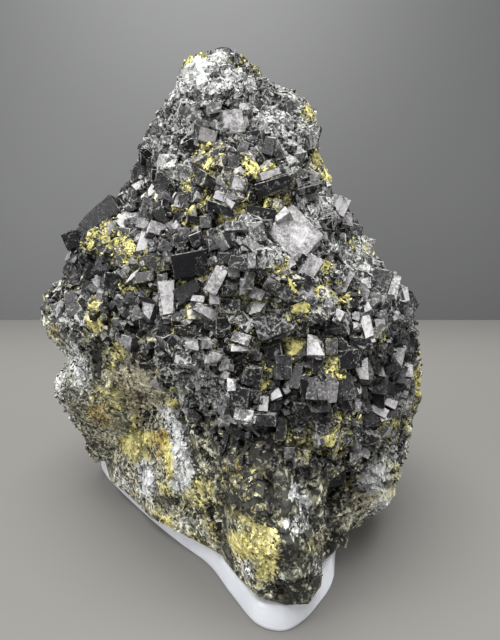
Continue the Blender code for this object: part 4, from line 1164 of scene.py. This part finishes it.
def spread_over(random, count, last_tilt):
    """Random angles and tilts over the rock, evenly by area of the unit sphere."""
    around = random.uniform(-np.pi, np.pi, count)
    return around, np.arccos(random.uniform(np.cos(last_tilt), 1.0, count))


def grain_piece(name, points, size, random, material, values):
    """Many tiny broken grains: uneven boxes, each turned at random, half sunk in what they lie on.

    A grain's corner is its middle plus its turned half sizes, each corner pulled in by its own share.
    """
    count = len(points)
    half = size[:, None] * random.uniform(*GRAIN_SIDES, (count, 3)) / 2
    shares = random.uniform(*GRAIN_CORNERS, (count, 8, 1))
    local = CORNER_SIGNS * half[:, None, :] * shares
    corners_at = points[:, None, :] + np.einsum("nij,ncj->nci", random_turns(random, count), local)
    box = np.array([[0, 1, 3, 2], [4, 6, 7, 5], [0, 4, 5, 1], [2, 3, 7, 6], [0, 2, 6, 4], [1, 5, 7, 3]])
    corners = (box + 8 * np.arange(count)[:, None, None]).ravel()
    per_point = {label: np.repeat(numbers, 8) for label, numbers in values.items()}
    return new_piece(name, corners_at.reshape(-1, 3), corners, np.full(6 * count, 4), material,
                     per_point)


class SPECIMEN_OT_rock_grains(bpy.types.Operator):
    """Builds the loose grains on the bare rock"""

    bl_idname = "specimen.rock_grains"
    bl_label = "Rock grains"

    def execute(self, context):
        look = context.scene.specimen_rock
        random = np.random.default_rng(11)
        around, tilt = spread_over(random, 3 * look.grain_count, GRAIN_LAST_TILT)
        bare = crust_cover(around, tilt) < random.uniform(*GRAIN_BARE, len(around))
        around, tilt = around[bare][:look.grain_count], tilt[bare][:look.grain_count]
        points = rock_surface(around, tilt)
        keep = points[:, 2] > GRAIN_LOWEST
        points, tilt = points[keep], tilt[keep]
        size = look.grain_size * random.lognormal(0.0, GRAIN_SPREAD, len(points))
        points = settled(points, size, random, "host_rock")
        values = stains(points, tilt)
        values["tone"] = random.uniform(*GRAIN_TONES, len(points))
        values["hollow"] = np.zeros(len(points))
        material = bpy.data.materials["rough_rock"]
        grain_piece("rock_grains", points, size, random, material, values)
        return {"FINISHED"}


# The crust's skin: how much lower its relief is under powder, how yellow and how white it is at least, and
# its lightness: the most, and the size of its noise
SKIN_CALM = 0.5
SKIN_YELLOW = 0.25
SKIN_WHITE = 0.17
SKIN_LIGHT = (0.35, 1.2 * MM)


def turned(points):
    """Points turned about the frame's diagonal, so that the crust's blocks don't line up with its axes."""
    return points @ DRUSE_TURN


def druse_kinds(look):
    """The relief of the crust's skin: blocks of three sizes."""
    return ((1.9 * MM, look.druse_height, 59), (0.9 * MM, 0.45 * look.druse_height, 67),
            (0.5 * MM, 0.2 * look.druse_height, 71))


class SPECIMEN_OT_crystal_skin(bpy.types.Operator):
    """Builds the crust's skin: small grown-together crystals between the large ones"""

    bl_idname = "specimen.crystal_skin"
    bl_label = "Crystal skin"

    def execute(self, context):
        look = context.scene.specimen_crystals
        around, tilt = surface_grid(SKIN_COLUMNS, SKIN_ROWS)
        cover = crust_cover(around, tilt)
        surface = rock_surface(around, tilt)
        kinds = druse_kinds(look)
        height = relief(turned(surface), kinds)
        powdered = np.clip(stains(surface, tilt)["yellow"], 0, 1)
        rise = look.skin_height + height * (1 - SKIN_CALM * powdered) + look.fill_height * powdered
        grow = rise * cover - CRUST_SINK * (1 - cover)
        surface = surface + outward_from_middle(surface) * grow[..., None]
        values = stains(surface, tilt)
        values["yellow"] += SKIN_YELLOW
        values["white"] += SKIN_WHITE
        # The skin's foot is 1 in its hollows and where it is powdered: the material paints shade there and
        # lets yellow powder gather
        values["foot"] = np.maximum(hollows(height, kinds), powdered)
        values["coat_and_highlight"] = SKIN_LIGHT[0] * soft_noise(surface, SKIN_LIGHT[1], 89)
        material = crystal_material(look)
        skin = closed_piece("crystal_skin", surface, values, material, SKIN_HARD_ANGLE)
        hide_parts("uraninite_crystals")
        return {"FINISHED"}


def crystal_piece(name, crystals, random, material):
    """Many cubes with cut edges in one piece, and for each face and point what the material reads.

    crystals holds centres, edge directions, sizes, and for each one how light its outer face is (partly a
    light coating, partly a painted highlight), how broken it is, its white, its yellow and how dark its other
    faces are, which is partly painted shade. A corner's cut is a small share of the crystal's size, and a
    large one where it is chipped. A broken crystal also narrows and leans towards its outer end.
    """
    centre, edges, size, coat_and_highlight, broken, white, yellow, shade = crystals
    count = len(centre)
    half = size / 2
    smallest = half.min(axis=1, keepdims=True)
    cut = smallest * random.uniform(*CORNER_CUT, (count, 8))
    chipped = random.uniform(size=(count, 8)) < broken[:, None]
    cut = np.where(chipped, smallest * random.uniform(*CORNER_CHIP, (count, 8)), cut)
    local = cut_cube_points(half, cut)
    rise = local[..., 2:] / half[:, None, 2:]
    narrowed = 1 - rise * random.uniform(*BROKEN_TAPER, (count, 1, 1)) * broken[:, None, None]
    leaning = rise * half[:, None, :2] * random.normal(0, BROKEN_LEAN, (count, 1, 2))
    local[..., :2] = local[..., :2] * narrowed + leaning * broken[:, None, None]
    points = centre[:, None, :] + np.einsum("nij,nkj->nki", edges, local)
    faces = cut_cube_faces()
    flat = np.concatenate(faces)
    corners = (flat + 24 * np.arange(count)[:, None]).ravel()
    sides = np.tile([len(face) for face in faces], count)
    face_coat_and_highlight = (1 - SIDES_ALIKE) * random.uniform(0, 1, (count, len(faces))) ** 2
    face_coat_and_highlight += SIDES_ALIKE * coat_and_highlight[:, None]
    light_side = random.uniform(size=(count, 5)) < LIGHT_SIDES[0]
    face_coat_and_highlight[:, :5] = np.where(light_side, LIGHT_SIDES[1], face_coat_and_highlight[:, :5])
    # Partly painted shade: the other faces darken where the mesh says dark
    face_coat_and_highlight *= 1 - SIDES_DARKER * shade[:, None]
    face_coat_and_highlight[:, 5] = coat_and_highlight
    is_edge = np.repeat([0.0, 1.0], [6, len(faces) - 6])
    # foot runs from 0 at the outer end to 1 at the inner end: the material paints shade there and lets powder
    # gather
    foot = (1 - local[..., 2] / half[:, None, 2]) / 2
    values = {
        "coat_and_highlight": face_coat_and_highlight.ravel(),
        "edge": np.tile(is_edge, count),
        "foot": foot.ravel(),
        "white": np.repeat(white, 24),
        "yellow": np.repeat(yellow, 24),
        "dark": np.repeat(shade, 24),
    }
    return new_piece(name, points.reshape(-1, 3), corners, sides, material, values)


def main_crystals(random):
    """The crystals read in the frame: centres, edge directions, sizes, lightness, breaks and tilts.

    The middle of a crystal's outer face stands on its own sight line, some way in front of the rock, and
    the crystal reaches back into the rock behind it.
    """
    table = np.array(MAIN_CRYSTALS, float)
    around, tilt = surface_behind(table[:, :2], MAIN_OUTERMOST)
    point, normal = point_and_normal(around, tilt)
    point = at_depth(table[:, :2], point[:, 1] - EYE[1])
    to_eye = one_long(EYE - point)
    span = MAIN_WIDER * table[:, 2:4] * (ahead_of_eye(point) / FRAME_FOCAL)[:, None]
    steady = np.minimum(MAIN_STEADY / span.mean(axis=1), 1)
    lean = MAIN_LEAN * steady[:, None] * random.normal(size=point.shape)
    facing = normal * (1 - MAIN_FACING) + to_eye * MAIN_FACING + lean
    edges = edge_directions(facing, np.radians(table[:, 4]))
    stand = MAIN_STAND + MAIN_STAND_BY_SIZE * span.mean(axis=1) + MAIN_STAND_BY_LIGHT * table[:, 5]
    size = np.column_stack([span, stand + MAIN_ROOT])
    centre = point + to_eye * stand[:, None] - edges[:, :, 2] * size[:, 2:] / 2
    broken = (MAIN_BROKEN + MAIN_BROKEN_BY_LIGHT * table[:, 5]) * steady**2
    return centre, edges, size, table[:, 5], broken, tilt


def apart(points, reach):
    """The numbers of points, tried in order, that keep clear of those taken before them.

    Two places are clear of each other when they are further apart than their reaches together.
    """
    held, held_reach = np.zeros_like(points), np.zeros(len(points))
    kept = []
    for number in range(len(points)):
        filled = len(kept)
        near = np.linalg.norm(held[:filled] - points[number], axis=1)
        if (near > held_reach[:filled] + reach[number]).all():
            held[filled], held_reach[filled] = points[number], reach[number]
            kept.append(number)
    return np.array(kept)


def scattered_crystals(look, random, spacing, count, sizes, stand, further):
    """Crystals of a size range on the crust, and fewer and fewer of them up to further below its edge,
    kept clear of each other and of the faces read one by one. A crystal's outer face lies at its stand
    above the rock."""
    around, tilt = spread_over(random, count, CRUST_WRAP + 0.25)
    cover = crust_cover(around, tilt, 2 * further + CRUST_EDGE_SOFTNESS, further)
    chosen = cover**2 > random.uniform(size=count)
    around, tilt, cover = around[chosen], tilt[chosen], cover[chosen]
    count = len(around)
    point, normal = point_and_normal(around, tilt)
    scale = sizes[0] + (sizes[1] - sizes[0]) * random.uniform(0, 1, count) ** SIZE_POWER
    scale = scale * np.interp(frame_place(point)[:, 1], *np.transpose(SIZE_DOWN))
    past_rim = np.clip((tilt - np.pi / 2) / RIM_CALM + 1, 0, 1)
    rise = random.uniform(*stand, count) * (0.4 + 0.6 * cover) - RIM_SINK * past_rim
    outer = point + normal * rise[:, None]
    margin = CLEAR_OF_MAIN * scale * FRAME_FOCAL / ahead_of_eye(outer)
    bare = 0.8 * stains(outer, tilt)["yellow"] < random.uniform(size=count)
    free = np.flatnonzero((~within_main(frame_place(outer), margin) | (tilt > np.pi / 2)) & bare)
    kept = free[apart(point[free], spacing * scale[free])]
    count = len(kept)
    size = (scale * (1 - 0.3 * past_rim))[kept, None] * random.uniform(*SIDE_RANGE, (count, 3))
    lean = look.lean * random.normal(size=(count, 3)) * (1 - 0.7 * past_rim[kept, None])
    edges = edge_directions(normal[kept] + lean, random.uniform(0, np.pi / 2, count))
    centre = outer[kept] - edges[:, :, 2] * size[:, 2:] / 2
    light = random.uniform(0.02, 1.0, count) ** look.darkness
    light = light * light * (3 - 2 * light)
    # Partly painted shade: faces are dimmed where the mesh says dark
    light *= 1 - 0.45 * np.clip(stains(outer[kept], tilt[kept])["dark"], 0, 1)
    return centre, edges, size, light, random.uniform(*BROKEN_RANGE, count), tilt[kept]


# How much white a crystal has at least, and how much less where it is light, and the same for yellow
LEAST_FROST = 0.15
FROST_OFF_LIGHT = 0.5
LEAST_POWDER = 0.12
POWDER_SHARE = 0.85


def with_colours(crystals):
    """Each crystal with its white, yellow and dark, the last partly painted shade, from where it stands, in
    place of its tilt.
    """
    *shape, tilt = crystals
    stain_and_shade = stains(shape[0], tilt)
    frost = stain_and_shade["white"] * (1 - FROST_OFF_LIGHT * shape[3]) + LEAST_FROST
    powder = POWDER_SHARE * (stain_and_shade["yellow"] + LEAST_POWDER)
    return *shape, frost, powder, np.clip(stain_and_shade["dark"], 0, 1)


def parallel_growths(crystals, random, times, share, sunk, proud):
    """Adds smaller crystals to each, in line with it and standing a little out of one of its sides.

    share is their size to the first one's, sunk how far their outer faces lie below its own, and proud how
    far they stand out of its side, to its size: each a lowest and a highest value.
    """
    centre, edges, size, coat_and_highlight, broken, tilt = crystals
    grown = [crystals]
    count = len(size)
    rows = np.arange(count)
    for _ in range(times):
        part = random.uniform(*share, size.shape)
        room = size * (1 - part) / 2
        offset = random.uniform(-1, 1, size.shape) * room
        offset[:, 2] = room[:, 2] - random.uniform(*sunk, count)
        axis = random.integers(0, 2, count)
        side = random.choice([-1.0, 1.0], count)
        offset[rows, axis] = side * (room[rows, axis] + size[rows, axis] * random.uniform(*proud, count))
        moved = centre + np.einsum("nij,nj->ni", edges, offset)
        grown.append((moved, edges, size * part, coat_and_highlight * random.uniform(0.2, 1, count), broken, tilt))
    return tuple(np.concatenate(parts) for parts in zip(*grown))


def nearest_places(points, *names):
    """The nearest place to each point on pieces already built, the outward direction there, and how far
    out the point is. Where pieces overlap, the one that the point is deepest in counts."""
    graph = bpy.context.evaluated_depsgraph_get()
    trees = [BVHTree.FromObject(bpy.data.objects[name], graph) for name in names]
    places, outward, clear = np.empty_like(points), np.empty_like(points), np.full(len(points), np.inf)
    for tree in trees:
        found = [tree.find_nearest(point)[:2] for point in (points - ORIGIN).tolist()]
        place, direction = (np.array([tuple(pair[part]) for pair in found]) for part in (0, 1))
        place = place + ORIGIN
        distance = np.linalg.norm(points - place, axis=1)
        side = np.einsum("ij,ij->i", points - place, direction)
        distance = np.where(side < 0, -distance, distance)
        nearer = distance < clear
        places[nearer], outward[nearer], clear[nearer] = place[nearer], direction[nearer], distance[nearer]
    return places, outward, clear


def rooted(crystals):
    """The crystals with their inner ends reaching into the rock or its crust. One too far off is left out."""
    for most in (ROOT_LONGEST, ROOT_DEPTH):
        centre, edges, size, *rest = crystals
        inner = centre - edges[:, :, 2] * size[:, 2:] / 2
        clear = nearest_places(inner, "host_rock", "crystal_skin")[2]
        longer = np.clip(clear + ROOT_DEPTH, 0, None)
        centre = centre - edges[:, :, 2] * longer[:, None] / 2
        size = size + longer[:, None] * np.array([0, 0, 1])
        kept = clear < most
        crystals = tuple(part[kept] for part in (centre, edges, size, *rest))
    return crystals


def settled(points, size, random, *names):
    """Points moved on to the pieces already built, where a grain of each size is partly sunk in."""
    places, outward, _ = nearest_places(points, *names)
    return places + outward * (size * random.uniform(*GRAIN_SETTLED, len(points)))[:, None]


class SPECIMEN_OT_crystals(bpy.types.Operator):
    """Builds the crystals: those read one by one, large ones between them, and small ones in the gaps"""

    bl_idname = "specimen.crystals"
    bl_label = "Crystals"

    def execute(self, context):
        look = context.scene.specimen_crystals
        material = bpy.data.materials["black_crystal"]
        random = np.random.default_rng(5)
        main = parallel_growths(main_crystals(random), random, *MAIN_GROWTHS)
        large = scattered_crystals(look, random, look.large_spacing, *LARGE_CRYSTALS)
        grown = parallel_growths(large, random, *LARGE_GROWTHS)
        both = tuple(np.concatenate(parts) for parts in zip(main, grown))
        crystal_piece("large_crystals", with_colours(rooted(both)), random, material)
        small = scattered_crystals(look, random, look.small_spacing, *SMALL_CRYSTALS)
        crystal_piece("small_crystals", with_colours(rooted(small)), random, material)
        return {"FINISHED"}


# Powder and crumbs: how far round the rock they go, their mean sizes and how much these vary. For powder,
# how many places are tried, how yellow each has to be and how yellow it is. For crumbs, how much crust there
# has to be, and how few are light.
DUST_WRAP = CRUST_WRAP + 0.1
POWDER_SIZE = 0.2 * MM
CRUMB_SIZE = 0.34 * MM
DUST_SPREAD = 0.4
POWDER_TRIED = 90000
POWDER_WANTS = (0.05, 0.6)
POWDER_YELLOW = (0.5, 1.0)
CRUMB_WANTS = 0.5
CRUMB_DARKNESS = 2.2
CRUMB_FOOT = 0.3


def dusted(point, mean_size, look, random):
    """Grains that lie on the crust and the rock near these places: their middles and their sizes."""
    size = mean_size * random.lognormal(0.0, DUST_SPREAD, len(point))
    point = point + outward_from_middle(point) * look.skin_height
    return settled(point, size, random, "crystal_skin", "host_rock"), size


class SPECIMEN_OT_powder(bpy.types.Operator):
    """Builds the yellow powder and the crumbs that lie between the crystals"""

    bl_idname = "specimen.powder"
    bl_label = "Powder and crumbs"

    def execute(self, context):
        look = context.scene.specimen_crystals
        random = np.random.default_rng(17)
        material = bpy.data.materials["black_crystal"]
        around, tilt = spread_over(random, POWDER_TRIED, DUST_WRAP)
        point = rock_surface(around, tilt)
        yellow = stains(point, tilt)["yellow"] * crust_cover(around, tilt)
        chosen = np.flatnonzero(random.uniform(*POWDER_WANTS, len(point)) < yellow)[:look.powder_count]
        point, size = dusted(point[chosen], POWDER_SIZE, look, random)
        powder = {"yellow": random.uniform(*POWDER_YELLOW, len(point)), "foot": np.ones(len(point))}
        grain_piece("yellow_powder", point, size, random, material, powder)

        around, tilt = spread_over(random, look.crumb_count, DUST_WRAP)
        covered = crust_cover(around, tilt) > CRUMB_WANTS
        around, tilt = around[covered], tilt[covered]
        point, size = dusted(rock_surface(around, tilt), CRUMB_SIZE, look, random)
        crumbs = stains(point, tilt)
        crumbs["coat_and_highlight"] = random.uniform(0.0, 1.0, len(point)) ** CRUMB_DARKNESS
        crumbs["foot"] = np.full(len(point), CRUMB_FOOT)
        grain_piece("crystal_crumbs", point, size, random, material, crumbs)
        return {"FINISHED"}


def smooth_closed(points, place):
    """A closed Catmull-Rom curve through the points, at places counted in points along it."""
    index = np.floor(place).astype(int)
    step = (place - index)[:, None]
    before, start, end, after = (points[(index + shift) % len(points)] for shift in (-1, 0, 1, 2))
    bend = 2 * before - 5 * start + 4 * end - after
    twist = 3 * (start - end) + after - before
    return 0.5 * (2 * start + (end - before) * step + bend * step**2 + twist * step**3)


# The pad's wall in millimetres, from the floor's middle up to the middle of its top: how far in from its
# outline, and how high. Each of these points has a few rows of the grid.
PUTTY_WALL = [(0.55, 0.0), (0.30, 0.0), (0.10, 0.10), (0.0, 0.35), (0.02, 0.8), (0.10, 1.4), (0.22, 1.95),
              (0.38, 2.25), (0.65, 2.38), (1.0, 2.4)]
PUTTY_COLUMNS = 800
PUTTY_ROWS_EACH = 4
# Shares of the columns, and how far along the outline each has got, in its points: close at the ridges
PUTTY_COLUMN_SHARES = [0.0, 0.55, 1.0]
PUTTY_COLUMN_PLACES = [-1.0, 3.2, 19.0]
RIDGE_PITCH = 0.45 * MM
RIDGE_MIDDLE = (330, 585)
RIDGE_HEIGHT = 1.0 * MM
RIDGE_REACH = 3.2 * MM
RIDGE_SLANT = 0.8
# The wall is uneven from hands: the size of its swells, how far they push it out and lift its top, the level
# above which the top is flat, and the height over which the foot starts to swell
SWELL_SIZE = 2.6 * MM
SWELL_OUT = 0.18 * MM
SWELL_UP = 0.06 * MM
SWELL_TOP = 2.2 * MM
SWELL_FOOT = 0.4 * MM


class SPECIMEN_OT_putty(bpy.types.Operator):
    """Builds the pad of putty: a soft wall carried round its outline, with finger ridges on one side"""

    bl_idname = "specimen.putty"
    bl_label = "Mounting putty"

    def execute(self, context):
        look = context.scene.specimen_putty
        seen = at_height(np.array(PUTTY_LINE, float), 0.0)[:, :2]
        control = np.concatenate([seen, PUTTY_BEHIND])
        along = np.interp(np.arange(PUTTY_COLUMNS) / PUTTY_COLUMNS, PUTTY_COLUMN_SHARES, PUTTY_COLUMN_PLACES)
        outline = smooth_closed(control, along)
        ahead = np.roll(outline, -1, axis=0) - np.roll(outline, 1, axis=0)
        length = np.linalg.norm(ahead, axis=1, keepdims=True)
        inward = np.stack([ahead[:, 1], -ahead[:, 0]], axis=1) / length
        travelled = np.concatenate([[0.0], np.cumsum(np.linalg.norm(np.diff(outline, axis=0), axis=1))])

        wall = np.array(PUTTY_WALL) * MM
        place = np.linspace(0, len(wall) - 1, PUTTY_ROWS_EACH * len(wall))
        inset = np.interp(place, np.arange(len(wall)), wall[:, 0])
        height = np.interp(place, np.arange(len(wall)), wall[:, 1])
        points = np.empty((len(place), PUTTY_COLUMNS, 3))
        points[..., :2] = outline + inward * inset[:, None, None]
        points[..., 2] = height[:, None]

        swell = soft_noise(points, SWELL_SIZE, 97) - 0.5
        ridge_at = at_height(np.array([RIDGE_MIDDLE], float), RIDGE_HEIGHT)[0]
        near = np.clip(1.3 - np.linalg.norm(points - ridge_at, axis=-1) / RIDGE_REACH, 0, 1)
        ridge = np.cos(2 * np.pi * (travelled + RIDGE_SLANT * points[..., 2]) / RIDGE_PITCH)
        on_wall = np.clip(points[..., 2] / SWELL_FOOT, 0, 1)
        push = (SWELL_OUT * (swell - 0.3) + look.ridge_depth * ridge * near) * on_wall
        points[..., :2] -= inward * push[..., None]
        points[..., 2] += SWELL_UP * swell * on_wall * (points[..., 2] < SWELL_TOP)

        # Where the grooves are, which the material paints with shade
        values = {"groove_shade": np.clip(-ridge * near * on_wall, 0, 1)}
        pad = closed_piece("putty_pad", points, values, putty_material(look), PUTTY_HARD_ANGLE)
        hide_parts("mounting_putty")
        return {"FINISHED"}


# The stage: half its width, where the floor starts, the backdrop's foot and top, and their roughness
STAGE_HALF_WIDTH = 600 * MM
FLOOR_START = -400 * MM
BACKDROP_HEIGHTS = (-2 * MM, 500 * MM)
STAGE_ROUGHNESS = 0.55
# Painted light on each: it gets lighter or darker along an axis, from one place to another, and how light it
# is there and there
FLOOR_PAINTED_LIGHT = (1, -40 * MM, 150 * MM, (0.9, 1.28))
BACKDROP_PAINTED_LIGHT = (0, -120 * MM, 120 * MM, (0.9, 0.72))
ROOM_COLOUR = (0.95, 0.97, 1.0, 1.0)
# Lights: name, place, target, width and height, whose power it has, and how much of it
LIGHTS = [
    ("key light", (-0.03, -0.18, 0.39), (0.0, 0.01, 0.03), (0.34, 0.28), "key_power", 1.0),
    ("left light", (-0.25, -0.15, 0.09), (0.0, 0.0, 0.02), (0.14, 0.14), "fill_power", 1.0),
    ("right light", (0.26, -0.10, 0.10), (0.0, 0.0, 0.02), (0.14, 0.14), "fill_power", 0.6),
]
NEAREST_SEEN = 1 * MM


def area_light(name, place, target, size, power):
    """A rectangular light at a place, turned to a target."""
    light = bpy.data.lights.new(name, "AREA")
    light.shape = "RECTANGLE"
    light.size, light.size_y = size
    light.energy = power
    lamp = bpy.data.objects.new(name, light)
    bpy.context.scene.collection.objects.link(lamp)
    backwards = np.array(place) - np.array(target)
    lamp.location = place
    heading = np.arctan2(backwards[0], -backwards[1])
    lamp.rotation_euler = (np.arctan2(np.hypot(*backwards[:2]), backwards[2]), 0.0, heading)


def stage_material(name, shade, axis, start, end, levels):
    """A colour with painted light, going from one level to another along an axis."""
    finish = Finish(name)
    along = finish.node("ShaderNodeSeparateXYZ", {0: finish.place}, axis).between(start, end)
    first, last = (dimmed(shade, level) for level in levels)
    finish.set({"Base Color": finish.blend(along, first, last), "Roughness": STAGE_ROUGHNESS})
    return finish.material


def stage_mesh(name, points, quads, material):
    """A mesh that isn't part of the specimen."""
    mesh = bpy.data.meshes.new(name)
    mesh.from_pydata(points.reshape(-1, 3), [], quads.reshape(-1, 4).tolist())
    mesh.materials.append(material)
    mesh.shade_smooth()
    made = bpy.data.objects.new(name, mesh)
    bpy.context.scene.collection.objects.link(made)
    return made


class SPECIMEN_OT_stage(bpy.types.Operator):
    """Builds the floor with its backdrop, the lights and the camera"""

    bl_idname = "specimen.stage"
    bl_label = "Stage"

    def execute(self, context):
        look = context.scene.specimen_stage
        scene = context.scene
        wide = np.linspace(-STAGE_HALF_WIDTH, STAGE_HALF_WIDTH, 7)
        share = np.linspace(0, 1, 9)[:, None]
        for name, shade, (near, far), (low, high), shading in (
                ("floor", look.floor, (FLOOR_START, look.floor_length), (0.0, 0.0), FLOOR_PAINTED_LIGHT),
                ("backdrop", look.backdrop, (look.floor_length, look.floor_length), BACKDROP_HEIGHTS,
                 BACKDROP_PAINTED_LIGHT)):
            points = np.empty((len(share), len(wide), 3))
            points[..., 0] = wide
            points[..., 1] = near + (far - near) * share
            points[..., 2] = low + (high - low) * share
            number = np.arange(points[..., 0].size).reshape(points.shape[:2])
            quads = np.stack([number[:-1, :-1], number[:-1, 1:], number[1:, 1:], number[1:, :-1]], axis=-1)
            material = stage_material(name, shade, *shading)
            stage_mesh(name, points, quads, material)

        for name, place, target, size, power, part in LIGHTS:
            area_light(name, place, target, size, part * getattr(look, power))
        world = bpy.data.worlds.new("room")
        world.use_nodes = True
        background = world.node_tree.nodes["Background"].inputs
        background["Color"].default_value = ROOM_COLOUR
        background["Strength"].default_value = look.world
        scene.world = world
        scene.view_settings.view_transform = "Standard"

        camera = bpy.data.cameras.new("camera")
        camera.sensor_width = 36.0
        camera.lens = camera.sensor_width * FRAME_FOCAL / max(FRAME_SIZE)
        camera.clip_start = NEAREST_SEEN
        viewer = bpy.data.objects.new("camera", camera)
        scene.collection.objects.link(viewer)
        viewer.location = EYE - ORIGIN
        viewer.rotation_euler = (np.pi / 2 - EYE_TILT, 0.0, 0.0)
        scene.camera = viewer
        return {"FINISHED"}


BUILDERS = (SPECIMEN_OT_host_rock, SPECIMEN_OT_rock_grains, SPECIMEN_OT_crystal_skin, SPECIMEN_OT_crystals,
            SPECIMEN_OT_powder, SPECIMEN_OT_putty, SPECIMEN_OT_stage)
LOOKS = {"specimen_rock": RockLook, "specimen_crystals": CrystalLook, "specimen_putty": PuttyLook,
         "specimen_stage": StageLook}


class SPECIMEN_PT_panel(bpy.types.Panel):
    """Lists the builders and their sizes and colours"""

    bl_idname = "SPECIMEN_PT_panel"
    bl_label = "Uraninite specimen"
    bl_space_type = "VIEW_3D"
    bl_region_type = "UI"
    bl_category = "Specimen"

    def draw(self, context):
        for builder in BUILDERS:
            self.layout.operator(builder.bl_idname)
        for holder, look in LOOKS.items():
            box = self.layout.box()
            for name in look.__annotations__:
                box.prop(getattr(context.scene, holder), name)


def register():
    """Adds the looks, the builders and the panel."""
    for holder, look in LOOKS.items():
        bpy.utils.register_class(look)
        setattr(bpy.types.Scene, holder, PointerProperty(type=look))
    for kind in (*BUILDERS, SPECIMEN_PT_panel):
        bpy.utils.register_class(kind)


def unregister():
    """Takes them away again."""
    for kind in (SPECIMEN_PT_panel, *reversed(BUILDERS)):
        bpy.utils.unregister_class(kind)
    for holder, look in LOOKS.items():
        delattr(bpy.types.Scene, holder)
        bpy.utils.unregister_class(look)


def main():
    register()
    for builder in BUILDERS:
        group, name = builder.bl_idname.split(".")
        getattr(getattr(bpy.ops, group), name)()
    bpy.context.view_layer.update()


if __name__ == "__main__":
    main()
